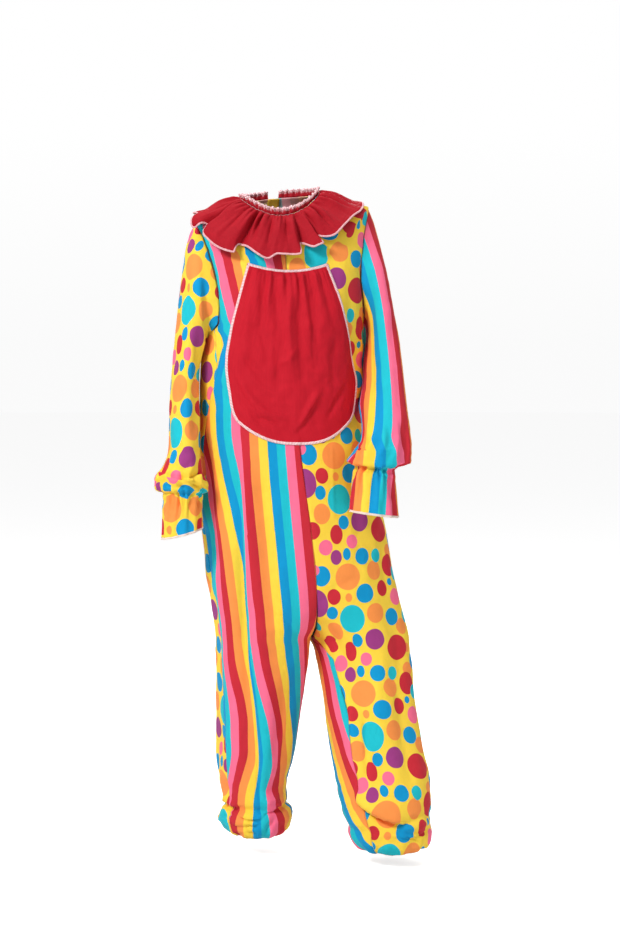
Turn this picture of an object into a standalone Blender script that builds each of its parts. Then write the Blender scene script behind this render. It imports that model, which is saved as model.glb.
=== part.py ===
"""Clown jumpsuit, filled out as when it is worn: four body panels, two sleeves with flared cuffs, a gathered
neck ruffle, a round tummy patch and a back zip.

The origin is the middle of the neck seam, where the wearer's neck and shoulders hold the garment up. The
front faces -Y and the wearer's left is +X. Sizes are in millimetres until wall_mesh() turns them into metres.
"""

import math

import bmesh
import bpy
import numpy as np
from mathutils import Matrix

# ---------------------------------------------------------------- driving sizes, in millimetres and degrees
METRE = 1000.0
CLOTH = 2.0  # wall of the printed cloth
RUFFLE_CLOTH = 1.4  # wall of the ruffle, its heading and the patch
SEAM_GAP = 0.3  # between two pieces that are sewn together
FRONT_COLUMNS, BACK_COLUMNS = 12, 10  # across one body panel
ELASTIC_GATHERS = 13  # round one ankle

# Runs are distances down the side line: shoulder seam, armhole, side seam.
TIP_RUN, UNDERARM_RUN, CROTCH_RUN = 120.0, 344.0, 1022.0
YOKE_ROWS, ARMHOLE_ROWS, CHEST_ROWS, HIP_ROWS, LEG_ROWS = 4, 10, 5, 5, 5
UNDERARM_DROP = UNDERARM_RUN - 262.0  # run less depth below the underarm


def table(columns, *rows):
    """A short table as {column name: array}."""
    return dict(zip(columns.split(), np.array(rows, float).T))


# Half sections of the torso. middle is the centre seam's x; right and left are the widths from it to each
# side; split goes from 0, one round section, to 1, two legs that meet; tilt is the slope of the shoulders;
# full squares the section; stride moves the left side forward.
TORSO = table(
    "run side_z front_z back_z middle right left front back split tilt full stride",
    (0, 15, -24, 20, -2, 78, 82, 76, 60, 0, 0.10, 0, 0),
    (40, 3, -52, -2, -2, 114, 120, 84, 76, 0, 0.10, 0, 0),
    (80, -9, -86, -38, -2, 148, 159, 96, 88, 0, 0.10, 0, 0),
    (120, -22, -122, -84, -1, 181, 197, 106, 97, 0, 0.10, 0, 0),
    (165, -66, -156, -128, 0, 179, 195, 113, 102, 0, 0.09, 0.04, 0),
    (210, -114, -189, -166, 1, 174, 191, 118, 105, 0, 0.08, 0.1, 0),
    (255, -164, -217, -203, 2, 169, 187, 122, 107, 0, 0.06, 0.16, 0),
    (300, -213, -245, -238, 3, 167, 184, 125, 108, 0, 0.04, 0.2, 0),
    (344, -262, -276, -272, 4, 167, 179, 127, 108, 0, 0.03, 0.22, 0),
    (420, -338, -342, -341, 8, 180, 163, 130, 104, 0, 0.01, 0.22, 0),
    (512, -430, -430, -430, 14, 188, 161, 134, 104, 0, 0, 0.22, 0),
    (617, -535, -535, -535, 25, 197, 171, 139, 112, 0, 0, 0.22, 0),
    (772, -690, -690, -690, 46, 216, 182, 141, 121, 0.06, 0, 0.2, -2),
    (860, -778, -778, -778, 57, 221, 187, 135, 122, 0.25, 0, 0.17, -6),
    (940, -858, -858, -858, 64, 215, 199, 126, 118, 0.60, 0, 0.11, -14),
    (990, -908, -908, -908, 68, 212, 205, 119, 115, 0.87, 0, 0.04, -21),
    (1022, -940, -940, -940, 70, 210, 209, 115, 112, 1, 0, 0, -27),
)

# Angles at which the front and back panels end, on each side: armhole edges, then one side seam.
EDGES = table(
    "run right_fore right_aft left_fore left_aft",
    (120, 0, 0, 0, 0),
    (142, 18, -17, 17, -17),
    (165, 25, -22, 24, -23),
    (210, 30, -24, 28, -26),
    (255, 32, -19, 27, -26),
    (300, 31, -3, 19, -19),
    (330, 28, 12, 8, -9),
    (344, 22, 22, 0, 0),
    (420, 31, 31, -3, -3),
    (470, 30, 30, -5, -5),
    (530, 17, 17, -6, -6),
    (617, 7, 7, -8, -8),
    (772, 5, 5, -10, -10),
    (940, 13, 13, -12, -12),
    (1022, 15, 15, -14, -14),
)

# Leg sections: out is the centre's distance from the crotch line, turn_in and turn_side move the seams
# forward.
RIGHT_LEG = table(
    "run z out wide stride deep turn_in turn_side",
    (1060, -978, 106, 103, 0, 109, 1, 15),
    (1170, -1090, 113, 94, 3, 102, 3, 18),
    (1275, -1195, 121, 84, 6, 94, 5, 28),
    (1340, -1260, 127, 74, 8, 88, 8, 31),
    (1374, -1294, 124, 71, 8, 86, 8, 32),
    (1390, -1305, 122, 67, 8, 78, 8, 32),
    (1410, -1315, 121, 76, 6, 84, 8, 32),
    (1432, -1333, 121, 80, 5, 88, 8, 32),
    (1456, -1354, 121, 73, 4, 84, 8, 32),
    (1474, -1367, 121, 60, 3, 70, 8, 32),
    (1486, -1371, 121, 50, 2, 60, 8, 32),
)
LEFT_LEG = table(
    "run z out wide stride deep turn_in turn_side",
    (1060, -978, 110, 99, -38, 110, 28, -18),
    (1170, -1090, 117, 97, -68, 104, 44, -24),
    (1275, -1195, 129, 98, -98, 101, 49, -28),
    (1340, -1260, 137, 98, -118, 99, 50, -30),
    (1374, -1290, 141, 97, -128, 98, 51, -30),
    (1400, -1316, 144, 93, -134, 95, 51, -30),
    (1420, -1332, 147, 88, -139, 90, 51, -30),
    (1444, -1347, 149, 91, -142, 91, 51, -30),
    (1468, -1367, 150, 84, -145, 84, 51, -30),
    (1484, -1379, 151, 74, -146, 74, 51, -30),
    (1494, -1381, 151, 66, -147, 66, 51, -30),
)

# The largest folds of the body cloth: a trough (negative) or ridge along a slanting line.
FOLDS = table(
    "side top_run top_angle low_run low_angle rise half_width",
    (-1, 740, 36, 1345, 84, -13, 24),
    (-1, 790, 54, 1345, 102, 7, 26),
    (-1, 1060, 124, 1370, 114, -10, 24),
    (-1, 620, 62, 1000, 74, -5, 26),
    (-1, 700, 12, 1300, 10, -6, 28),
    (-1, 760, -60, 1340, -72, -10, 27),
    (-1, 860, -110, 1350, -118, -9, 25),
    (-1, 360, -52, 640, -46, -7, 28),
    (1, 900, 48, 1350, 62, -6, 28),
    (1, 1060, 112, 1330, 96, -9, 26),
    (1, 640, 30, 1290, 22, 6, 28),
    (1, 780, -62, 1350, -78, -10, 28),
    (1, 900, -112, 1360, -124, -9, 26),
    (1, 360, -50, 640, -44, -7, 28),
)

# Sleeve sections, mirrored for the right: each ring runs from the outer line to the inner line and is deep
# from front to back; fade is the share of the armhole's own outline that is left in the ring.
SLEEVE_COLUMNS = "run outer_x outer_z inner_x inner_z y deep fade"
RIGHT_SLEEVE = table(
    SLEEVE_COLUMNS,
    (0, 184, -40, 161, -267, 0, 60, 1),
    (26, 198, -66, 170, -277, -4, 66, 0.7),
    (62, 207, -106, 173, -302, -8, 71, 0.35),
    (112, 214, -160, 176, -335, -12, 74, 0.1),
    (170, 221, -222, 177, -372, -17, 75, 0),
    (260, 231, -306, 178, -424, -27, 72, 0),
    (345, 239, -384, 179, -474, -39, 69, 0),
    (420, 245, -460, 180, -520, -52, 66, 0),
    (462, 248, -520, 179, -554, -60, 63, 0),
    (492, 260, -560, 176, -578, -67, 61, 0),
    (518, 277, -588, 165, -596, -72, 59, 0),
    (538, 275, -606, 164, -609, -73, 54, 0),
    (556, 257, -614, 181, -616, -73, 40, 0),
    (572, 256, -630, 181, -630, -73, 40, 0),
    (600, 261, -656, 179, -652, -75, 43, 0),
    (655, 266, -712, 178, -690, -77, 46, 0),
)
LEFT_SLEEVE = table(
    SLEEVE_COLUMNS,
    (0, 196, -2, 184, -257, 0, 60, 1),
    (26, 207, -32, 189, -266, -4, 65, 0.7),
    (62, 216, -68, 189, -284, -10, 70, 0.35),
    (112, 225, -112, 185, -308, -20, 72, 0.1),
    (170, 235, -170, 179, -342, -34, 71, 0),
    (260, 245, -250, 171, -392, -60, 66, 0),
    (345, 252, -340, 159, -436, -97, 60, 0),
    (410, 254, -420, 156, -476, -130, 55, 0),
    (442, 255, -470, 152, -500, -149, 53, 0),
    (468, 256, -514, 141, -524, -160, 52, 0),
    (490, 255, -548, 118, -546, -169, 48, 0),
    (510, 216, -554, 141, -552, -171, 38, 0),
    (526, 216, -566, 138, -564, -172, 38, 0),
    (560, 220, -596, 129, -592, -174, 42, 0),
    (622, 226, -664, 122, -650, -177, 46, 0),
)
SLEEVE_RUNS = {
    -1: (26, 62, 112, 170, 230, 290, 345, 395, 435, 470, 496, 518, 538, 556, 572, 592, 622, 655),
    1: (26, 62, 112, 170, 230, 290, 345, 390, 424, 448, 468, 490, 510, 526, 546, 582, 622),
}
FINE_FROM = {-1: 518, 1: 468}  # run from which a sleeve has twice the columns, for its gathers
CUFF_RUN = {-1: 556, 1: 510}  # run of the elastic
CUFF_GATHERS = 12

# Neck ruffle: one gathered strip whose ends meet at the zip, with a heading above the stitched line and a
# flounce below it.
RUFFLE_COLUMNS, RUFFLE_ROWS = 114, 5
RUFFLE_LIFT, RUFFLE_LOW, RUFFLE_WAVE = 2.0, 4.0, 23.0
RUFFLE_END, RUFFLE_END_SPREAD = 8.0, 7.0  # degrees from the centre back to its ends, and more at its hem

# The flounce's waves: each row is a place round the neck (0 is the front and 90 the wearer's left), with how far
# the hem hangs down the body there, its share of a full wave's height and how far it leans to the left.
RUFFLE = table(
    "turn reach lift lean",
    (-165, 106, 0.7, 0),
    (-158, 98, 0, 0),
    (-145, 112, 1, 4),
    (-132, 100, 0, 0),
    (-119, 110, 0.9, -4),
    (-107, 98, 0, 0),
    (-96, 104, 0.55, 3),
    (-85, 98, 0.15, 0),
    (-79, 112, 0.6, 0),
    (-72, 119, 0.75, 5),
    (-65, 104, 0, 0),
    (-58, 128, 0.8, -3),
    (-47, 138, 1, 2),
    (-39, 132, 0.9, 9),
    (-33, 102, 0, 0),
    (-28, 104, 0.4, 0),
    (-22, 112, 0.8, 0),
    (-14, 122, 1, 0),
    (-6, 108, 0.75, 0),
    (0, 110, 0.85, 2),
    (6, 114, 0.95, 5),
    (11, 86, 0, 0),
    (16, 108, 0.9, 5),
    (19, 108, 1, 14),
    (22, 80, 0, 0),
    (26, 96, 0.7, -2),
    (32, 106, 1, 0),
    (41, 102, 0.9, 0),
    (52, 100, 0.45, 0),
    (62, 104, 0.3, 0),
    (72, 102, 0.02, 0),
    (84, 98, 0.02, 0),
    (95, 96, 0, 0),
    (107, 102, 0.3, -2),
    (119, 98, 0, 0),
    (132, 110, 1, 4),
    (145, 98, 0, 0),
    (156, 110, 0.9, -3),
    (165, 106, 0.6, 0),
)
HEADING_GATHERS, HEADING_COLUMNS_A_GATHER = 36, 3
HEADING_HEIGHT, HEADING_WAVE = 13.0, 2.6

# Tummy patch: half-widths down its sides and its middle's distance from the centre seam.
PATCH = table(
    "down half off",
    (0, 85, 2),
    (0.25, 112, 3),
    (0.5, 132, 4),
    (0.7, 140, 4),
    (0.86, 136, 2),
    (0.94, 131, 0),
    (1, 122, -2),
)
PATCH_TOP_Z, PATCH_LOW_Z, PATCH_DIP, PATCH_CORNER_RISE = -128.0, -511.0, 15.0, 50.0
PATCH_COLUMNS, PATCH_ROWS, PATCH_GATHERS = 28, 9, 7
PATCH_LIFT, PATCH_GATHER_RISE = 1.1, 3.5

# Back zip, from the neck edge down to ZIP_END_RUN.
ZIP_END_RUN = 600.0
ZIP_OPENING, ZIP_TAPE_WIDTH, ZIP_TAPE, ZIP_CHAIN_WIDTH = 5.0, 26.0, 0.8, 4.2
SLIDER_RUN, SLIDER_WIDE, SLIDER_LONG, SLIDER_THICK = 30.0, 8.5, 11.0, 2.4
BRIDGE_WIDE, BRIDGE_LONG, BRIDGE_HIGH, BRIDGE_THICK = 3.0, 6.4, 3.3, 1.1
PULL_WIDE, PULL_LONG, PULL_THICK, PULL_BAR, PULL_HOLE, PULL_HOLE_WIDE = 7.0, 24.0, 1.2, 1.2, 4.6, 4.0

# ---------------------------------------------------------------- surfaces
def smooth(rows, column, at, key="run"):
    """A table's column at those runs, on a curve through its rows that doesn't overshoot them."""
    x, y = rows[key], rows[column]
    at = np.clip(np.asarray(at, float), x[0], x[-1])
    step, rise = np.diff(x), np.diff(y)
    slope = rise / step
    tangent = np.zeros(len(x))
    tangent[0], tangent[-1] = slope[0], slope[-1]
    same = slope[1:] * slope[:-1] > 0
    weight_a, weight_b = 2 * step[1:] + step[:-1], step[1:] + 2 * step[:-1]
    both = np.where(same, slope[1:] * slope[:-1], 1.0)
    mean = (weight_a + weight_b) * both / np.where(same, weight_a * slope[1:] + weight_b * slope[:-1], 1.0)
    tangent[1:-1] = np.where(same, mean, 0.0)
    i = np.clip(np.searchsorted(x, at, side="right") - 1, 0, len(x) - 2)
    s = (at - x[i]) / step[i]
    low = (1 + 2 * s) * (1 - s) ** 2 * y[i] + s * (1 - s) ** 2 * step[i] * tangent[i]
    return low + s * s * (3 - 2 * s) * y[i + 1] + s * s * (s - 1) * step[i] * tangent[i + 1]


def with_leg(side, leg):
    """One side's sections from neck to hem, as a table: the torso's rows and then the leg's."""
    width = TORSO["left"] if side > 0 else TORSO["right"]
    out = TORSO["split"] / 2 * width
    rows = {
        "run": TORSO["run"],
        "side_z": TORSO["side_z"],
        "front_z": TORSO["front_z"],
        "back_z": TORSO["back_z"],
        "out": out,
        "wide": width - out,
        "centre_y": (TORSO["back"] - TORSO["front"]) / 2,
        "deep": (TORSO["back"] + TORSO["front"]) / 2,
        "stride": TORSO["stride"] * (side > 0),
    }
    for name in rows:
        source = "z" if name.endswith("_z") else name
        rows[name] = np.append(rows[name], leg[source] if source in leg else 0 * leg["run"])
    return rows


SECTIONS = {-1: with_leg(-1, RIGHT_LEG), 1: with_leg(1, LEFT_LEG)}
LEGS = {-1: RIGHT_LEG, 1: LEFT_LEG}


def inner_angle(side, run):
    """Section angle of the centre seam, or of the inseam on the leg, on the front."""
    rows = SECTIONS[side]
    share = smooth(rows, "out", run) / smooth(rows, "wide", run)
    seam = np.degrees(np.arccos(np.clip(-share, -1, 1)))
    turn = np.interp(run, np.append(CROTCH_RUN, LEGS[side]["run"]), np.append(0, LEGS[side]["turn_in"]))
    return np.where(run < CROTCH_RUN, seam, 180.0 - turn)


def back_inner_angle(side, run):
    front = inner_angle(side, run)
    return np.where(run < CROTCH_RUN, -front, front - 360.0)


def side_angle(side, run, part):
    """Section angle of the armhole edge or the side seam, on the fore or aft panel."""
    name = ("left_" if side > 0 else "right_") + part
    leg = LEGS[side]
    runs = np.append(EDGES["run"], leg["run"])
    angles = np.append(EDGES[name], leg["turn_side"])
    return np.where(run < TIP_RUN, 0.0, np.interp(run, runs, angles))


def ease(x):
    x = np.clip(x, 0, 1)
    return x * x * (3 - 2 * x)


def fold_rise(side, run, angle, radius):
    """How far the folds move the cloth out, in millimetres."""
    rise = np.zeros(np.broadcast(run, angle).shape)
    for i in np.flatnonzero(FOLDS["side"] == side):
        top, low = FOLDS["top_run"][i], FOLDS["low_run"][i]
        share = (run - top) / (low - top)
        middle = FOLDS["top_angle"][i] + share * (FOLDS["low_angle"][i] - FOLDS["top_angle"][i])
        across = np.radians(angle - middle) * radius / FOLDS["half_width"][i]
        ends = ease(share / 0.25) * ease((1 - share) / 0.12)
        rise = rise + FOLDS["rise"][i] * ends * np.exp(-across * across)
    return rise


def gather_rise(side, run, angle):
    """Gathers that the ankle's elastic makes, in millimetres."""
    hem = LEGS[side]["run"][-1]
    near = ease((run - (hem - 62)) / 50)
    return 3.0 * near * np.cos(np.radians(ELASTIC_GATHERS * angle))


def body_point(side, run, angle):
    """Points of the body cloth's outer face: side is -1 for the wearer's right and 1 for the left, run is the
    distance down the side line, and angle goes round the section from the side (0) to the front (90)."""
    run, angle = np.broadcast_arrays(np.asarray(run, float), np.asarray(angle, float))
    rows = SECTIONS[side]
    wide, deep = smooth(rows, "wide", run), smooth(rows, "deep", run)
    round_angle = np.radians(angle)
    c, s = np.cos(round_angle), np.sin(round_angle)
    across, ahead = c, s * (1 + smooth(TORSO, "full", run) * c * c)
    seam = np.where(angle > 0, inner_angle(side, run) - angle, angle - back_inner_angle(side, run))
    clear = 1 - np.exp(-((np.radians(np.abs(seam)) * wide / 26.0) ** 2))
    clear = np.where(run < CROTCH_RUN, clear, clear + (1 - clear) * ease((run - CROTCH_RUN) / 60))
    rise = fold_rise(side, run, angle, (wide + deep) / 2) * clear + gather_rise(side, run, angle)
    out = smooth(rows, "out", run)
    x = out + (wide + rise) * across
    y = smooth(rows, "centre_y", run) - (deep + rise) * ahead
    away = np.clip((out + wide * across) / (out + wide), 0, 1) ** 1.3
    y = y + smooth(rows, "stride", run) * (away + (1 - away) * ease((run - CROTCH_RUN) / 170))
    front_share = s * s * (s > 0)
    back_share = s * s * (s < 0)
    z = smooth(rows, "side_z", run)
    z = z + (smooth(rows, "front_z", run) - z) * front_share + (smooth(rows, "back_z", run) - z) * back_share
    x = smooth(TORSO, "middle", run) + side * x
    z = z + smooth(TORSO, "tilt", run) * x
    return np.stack([x, y, z], axis=-1)


def unit(vectors):
    return vectors / np.maximum(np.linalg.norm(vectors, axis=-1, keepdims=True), 1e-9)


def body_normal(side, run, angle):
    """Outward unit normals of the body cloth."""
    d_run, d_angle = 0.5, 0.25
    low = np.maximum(run - d_run, 0)
    high = np.minimum(run + d_run, SECTIONS[side]["run"][-1])
    down = body_point(side, high, angle) - body_point(side, low, angle)
    round_it = body_point(side, run, angle + d_angle) - body_point(side, run, angle - d_angle)
    return unit(np.cross(round_it, down) * side)


# ---------------------------------------------------------------- meshes
def wall_mesh(name, rows, closed, material, parent=None):
    """A wall from rows of (outer points, inner points), top to bottom. closed joins each row's ends. A row
    may have twice as many spans as the one above it."""
    outer = [np.asarray(o) for o, _ in rows]
    inner = [np.asarray(i) for _, i in rows]
    counts = [len(o) for o in outer]
    starts = np.concatenate([[0], np.cumsum(counts)])
    total = int(starts[-1])
    faces = []

    def spans(k):
        n = counts[k] if closed else counts[k] - 1
        return [(int(starts[k]) + j, int(starts[k]) + (j + 1) % counts[k]) for j in range(n)]

    def both_faces(face):
        faces.append(face)
        faces.append(tuple(total + v for v in reversed(face)))

    for k in range(len(rows) - 1):
        above, below = spans(k), spans(k + 1)
        if len(below) == 2 * len(above):
            for j, (a, b) in enumerate(above):
                (c, d), (_, e) = below[2 * j], below[2 * j + 1]
                for face in ((a, c, d), (a, d, b), (b, d, e)):
                    both_faces(face)
        else:
            for (a, b), (c, d) in zip(above, below):
                points = np.concatenate([outer[k], outer[k + 1]])
                ends = [points[v - int(starts[k])] for v in (a, b, c, d)]
                first = np.linalg.norm(ends[0] - ends[3]) < np.linalg.norm(ends[1] - ends[2])
                for face in ((a, c, d), (a, d, b)) if first else ((a, c, b), (b, c, d)):
                    both_faces(face)
    for a, b in spans(0):
        faces.append((a, b, total + b, total + a))
    for a, b in spans(len(rows) - 1):
        faces.append((b, a, total + a, total + b))
    if not closed:
        for k in range(len(rows) - 1):
            a, c = int(starts[k]), int(starts[k + 1])
            b, d = a + counts[k] - 1, c + counts[k + 1] - 1
            faces.append((c, a, total + a, total + c))
            faces.append((b, d, total + d, total + b))
    points = np.concatenate(outer + inner) / METRE
    return mesh_object(name, points.tolist(), faces, material, parent)


def mesh_object(name, points, faces, material, parent=None):
    mesh = bpy.data.meshes.new(name)
    mesh.from_pydata(points, [], faces)
    tidy = bmesh.new()
    tidy.from_mesh(mesh)
    bmesh.ops.recalc_face_normals(tidy, faces=tidy.faces)
    tidy.to_mesh(mesh)
    tidy.free()
    mesh.materials.append(material)
    mesh.shade_smooth()
    mesh.set_sharp_from_angle(angle=math.radians(50))
    thing = bpy.data.objects.new(name, mesh)
    PARTS.objects.link(thing)
    if parent:
        thing.parent = parent
    return thing


def cloth_material(name, colour, roughness=0.8):
    material = bpy.data.materials.new(name)
    material.use_nodes = True
    shader = material.node_tree.nodes["Principled BSDF"]
    shader.inputs["Base Color"].default_value = (*colour, 1)
    shader.inputs["Roughness"].default_value = roughness
    shader.inputs["Metallic"].default_value = 0
    return material


# ---------------------------------------------------------------- body panels
def body_runs(side):
    hem = LEGS[side]["run"][-1]
    ankle = LEGS[side]["run"][4]
    spans = (
        (0, TIP_RUN, YOKE_ROWS),
        (TIP_RUN, UNDERARM_RUN, ARMHOLE_ROWS),
        (UNDERARM_RUN, ZIP_END_RUN, CHEST_ROWS),
        (ZIP_END_RUN, ZIP_END_RUN + 12, 1),
        (ZIP_END_RUN + 12, CROTCH_RUN, HIP_ROWS),
        (CROTCH_RUN, ankle, LEG_ROWS),
    )
    runs = np.concatenate([np.linspace(a, b, n, endpoint=False) for a, b, n in spans])
    return np.concatenate([runs, LEGS[side]["run"][4:]]), int(len(runs)), hem


def panel_angles(side, run, fore, columns):
    """Angles across one row of a panel, from side seam to centre seam, half a seam gap in from each."""
    wide = float(smooth(SECTIONS[side], "wide", run))
    start = float(side_angle(side, run, "fore" if fore else "aft"))
    end = float(inner_angle(side, run) if fore else back_inner_angle(side, run))
    gap = math.degrees(SEAM_GAP / 2 / wide)
    edge_gap = gap
    if not fore and run <= ZIP_END_RUN:
        edge_gap = math.degrees(ZIP_OPENING / 2 / wide)
    direction = 1 if fore else -1
    return np.linspace(start + direction * gap, end - direction * edge_gap, columns + 1)


def panel(name, side, fore, material):
    columns = FRONT_COLUMNS if fore else BACK_COLUMNS
    runs, coarse_rows, _ = body_runs(side)
    rows = []
    for k, run in enumerate(runs):
        count = columns * 2 if k > coarse_rows + 1 else columns
        angles = panel_angles(side, run, fore, count)
        outer = body_point(side, run, angles)
        inner = outer - CLOTH * body_normal(side, np.full(len(angles), run), angles)
        rows.append((outer, inner))
    wall_mesh(name, rows, False, material)
    return rows


def armhole_edge(side, fore_rows, aft_rows):
    """Outer and inner points of the armhole's rim, from the shoulder tip down the front and up the back, with
    the way the sleeve leaves each point."""
    first, last = YOKE_ROWS, YOKE_ROWS + ARMHOLE_ROWS
    fore = [(r[0][0], r[1][0], r[0][1]) for r in fore_rows[first : last + 1]]
    aft = [(r[0][0], r[1][0], r[0][1]) for r in aft_rows[first : last + 1]]
    tip = tuple((a + b) / 2 for a, b in zip(fore[0], aft[0]))
    low = tuple((a + b) / 2 for a, b in zip(fore[-1], aft[-1]))
    ring = [tip, *fore[1:-1], low, *reversed(aft[1:-1])]
    outer, inner, next_in = (np.array([p[i] for p in ring]) for i in range(3))
    leave = unit(outer - next_in)
    leave[0] = unit(np.array([side * 1.0, 0, -0.35]))
    leave[ARMHOLE_ROWS] = unit(np.array([side * 0.8, 0, 0.8]))
    return outer, inner, leave


# ---------------------------------------------------------------- sleeves
def sleeve_point(side, run, angle, rim):
    """Points of a sleeve's outer face: angle 0 is the top and outer side, 90 the front and 180 the seam under
    the arm. rim holds the armhole's own points at those angles."""
    rows = LEFT_SLEEVE if side > 0 else RIGHT_SLEEVE
    run, angle = np.broadcast_arrays(np.asarray(run, float), np.asarray(angle, float))
    value = {c: smooth(rows, c, run) for c in SLEEVE_COLUMNS.split()[1:]}
    a = np.radians(angle)
    elastic = np.exp(-(((run - CUFF_RUN[side]) / 22.0) ** 2))
    frill = np.clip((run - CUFF_RUN[side]) / 80.0, 0, 1)
    rise = (2.4 * elastic + 2.0 * frill) * np.cos(CUFF_GATHERS * a)
    long_fold = np.exp(-(((angle - 118) / 20) ** 2)) + 0.8 * np.exp(-(((angle - 292) / 22) ** 2))
    rise = rise - 9.0 * long_fold * ease((run - 60) / 110) * ease((CUFF_RUN[side] - 90 - run) / 90)
    half_x, half_z = (value["outer_x"] - value["inner_x"]) / 2, (value["outer_z"] - value["inner_z"]) / 2
    reach = (1 + rise / np.hypot(half_x, half_z)) * np.cos(a)
    x = (value["outer_x"] + value["inner_x"]) / 2 + half_x * reach
    z = (value["outer_z"] + value["inner_z"]) / 2 + half_z * reach
    y = value["y"] - (value["deep"] + rise) * np.sin(a)
    points = np.stack([side * x, y, z], axis=-1)
    first = {c: rows[c][0] for c in SLEEVE_COLUMNS.split()[1:]}
    share = (1 + np.cos(a)) / 2
    start_x = first["inner_x"] + (first["outer_x"] - first["inner_x"]) * share
    start_z = first["inner_z"] + (first["outer_z"] - first["inner_z"]) * share
    start = np.stack([side * start_x, first["y"] - first["deep"] * np.sin(a), start_z], axis=-1)
    return points + (rim - start) * value["fade"][..., None]


def rim_at(ring, count):
    """A closed ring's points, resampled to that many by straight spans."""
    n = len(ring)
    at = np.arange(count) * n / count
    low = np.floor(at).astype(int)
    share = (at - low)[:, None]
    return ring[low % n] * (1 - share) + ring[(low + 1) % n] * share


def sleeve_normal(side, run, count, outer):
    """Outward unit normals round one sleeve ring."""
    rows = LEFT_SLEEVE if side > 0 else RIGHT_SLEEVE
    angles, rim = np.arange(count) * 360.0 / count, rim_at(outer, count)
    below = sleeve_point(side, min(run + 1, rows["run"][-1]), angles, rim)
    down = below - sleeve_point(side, run - 1, angles, rim)
    here = sleeve_point(side, run, angles, rim)
    round_it = np.roll(here, -1, axis=0) - np.roll(here, 1, axis=0)
    return unit(np.cross(round_it, down) * side)


def sleeve(name, side, fore_rows, aft_rows, material):
    outer, inner, leave = armhole_edge(side, fore_rows, aft_rows)
    coarse = len(outer)
    first = outer + SEAM_GAP * leave
    down = np.array([0.0, 0.0, -1.0])
    around = np.radians(np.arange(coarse) * 360.0 / coarse)
    under = np.clip(-np.cos(around), 0, 1)[:, None] ** 2
    near = sleeve_normal(side, SLEEVE_RUNS[side][0], coarse, outer)
    start = unit(unit(outer - inner) + near * np.abs(np.sin(around))[:, None] + 1.5 * under * (near + down))
    start = unit(start - np.clip(np.sum(start * leave, axis=-1, keepdims=True), 0, None) * leave)
    rows = [(first, first - CLOTH * start)]
    for run in SLEEVE_RUNS[side]:
        count = coarse * 2 if run >= FINE_FROM[side] else coarse
        here = sleeve_point(side, run, np.arange(count) * 360.0 / count, rim_at(outer, count))
        normal = sleeve_normal(side, run, count, outer)
        share = 0.9 * math.exp(-((run / 30.0) ** 2))
        normal = unit(normal * (1 - share) + rim_at(start, count) * share)
        rows.append((here, here - CLOTH * normal))
    wall_mesh(name, rows, True, material)


# ---------------------------------------------------------------- neck ruffle
def round_neck(turn):
    """(side, section angle) of a direction round the body: turn 0 is the front and 90 the wearer's left."""
    turn = (np.asarray(turn, float) + 180.0) % 360.0 - 180.0
    side = np.where(turn >= 0, 1, -1)
    return side, 90.0 - np.abs(turn)


def yoke_point(run, turn):
    side, angle = round_neck(turn)
    run = np.broadcast_to(np.asarray(run, float), angle.shape)
    left, right = body_point(1, run, angle), body_point(-1, run, angle)
    return np.where((side > 0)[..., None], left, right)


def yoke_normal(run, turn):
    ahead = yoke_point(run, turn + 1.0) - yoke_point(run, turn - 1.0)
    down = yoke_point(run + 1.0, turn) - yoke_point(np.maximum(run - 1.0, 0), turn)
    return unit(np.cross(down, ahead))


def flounce_point(down, turn):
    """Outer points of the flounce: down is 0 at the stitched line and 1 at the hem."""
    place = turn * (180.0 - RUFFLE_END - RUFFLE_END_SPREAD) / 180.0
    reach, wave, lean = (smooth(RUFFLE, name, place, key="turn") for name in ("reach", "lift", "lean"))
    turn = turn * (180.0 - RUFFLE_END - RUFFLE_END_SPREAD * down) / 180.0
    run = 2.0 + down * reach
    base, normal = yoke_point(run, turn), yoke_normal(run, turn)
    along = unit(yoke_point(run, turn + 1.0) - yoke_point(run, turn - 1.0))
    lift = RUFFLE_LIFT + RUFFLE_LOW * down**0.6 + RUFFLE_WAVE * down**0.8 * wave**0.75
    return base + normal * lift[..., None] + along * (lean * down**1.4)[..., None]


def ring_rows(point, downs, turns, thickness):
    """Rows of a closed wall from point(down, turn), thickened inwards along its own normals."""
    rows = []
    for down in downs:
        step = 0.02
        high, low = min(down + step, 1.0), max(down - step, 0.0)
        here = point(np.full(len(turns), down), turns)
        fall = point(np.full(len(turns), high), turns) - point(np.full(len(turns), low), turns)
        ahead = point(np.full(len(turns), down), turns + 0.3) - point(np.full(len(turns), down), turns - 0.3)
        rows.append((here, here - thickness * unit(np.cross(fall, ahead))))
    return rows


def neck_flounce(material):
    last = len(RUFFLE["turn"]) - 1
    turns = np.interp(np.linspace(0, last, RUFFLE_COLUMNS + 1), np.arange(last + 1), RUFFLE["turn"])
    turns = turns * 180.0 / (180.0 - RUFFLE_END - RUFFLE_END_SPREAD)
    rows = ring_rows(flounce_point, np.linspace(0, 1, RUFFLE_ROWS + 1), turns, RUFFLE_CLOTH)
    wall_mesh("neck_flounce", rows, False, material)


def heading_point(down, turn):
    """Outer points of the heading: down is 0 at its frilled top edge and 1 at the stitched line."""
    stitch = flounce_point(np.zeros(np.shape(turn)), turn)
    middle = np.array([0.0, 0.0, 0.0])
    out = unit((stitch - middle) * np.array([1, 1, 0]))
    up = 1.0 - down
    a = np.radians(turn)
    wave = HEADING_WAVE * (0.35 + 0.65 * up) * np.sin(HEADING_GATHERS * a)
    rise = SEAM_GAP + 0.4 + HEADING_HEIGHT * up
    z = np.array([0.0, 0.0, 1.0])
    return stitch + out * (wave + 1.5 * up)[..., None] + z * rise[..., None]


def neck_heading(material):
    turns = np.linspace(-180, 180, HEADING_GATHERS * HEADING_COLUMNS_A_GATHER + 1)
    wall_mesh("neck_heading", ring_rows(heading_point, (0.0, 1.0), turns, RUFFLE_CLOTH), False, material)


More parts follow.
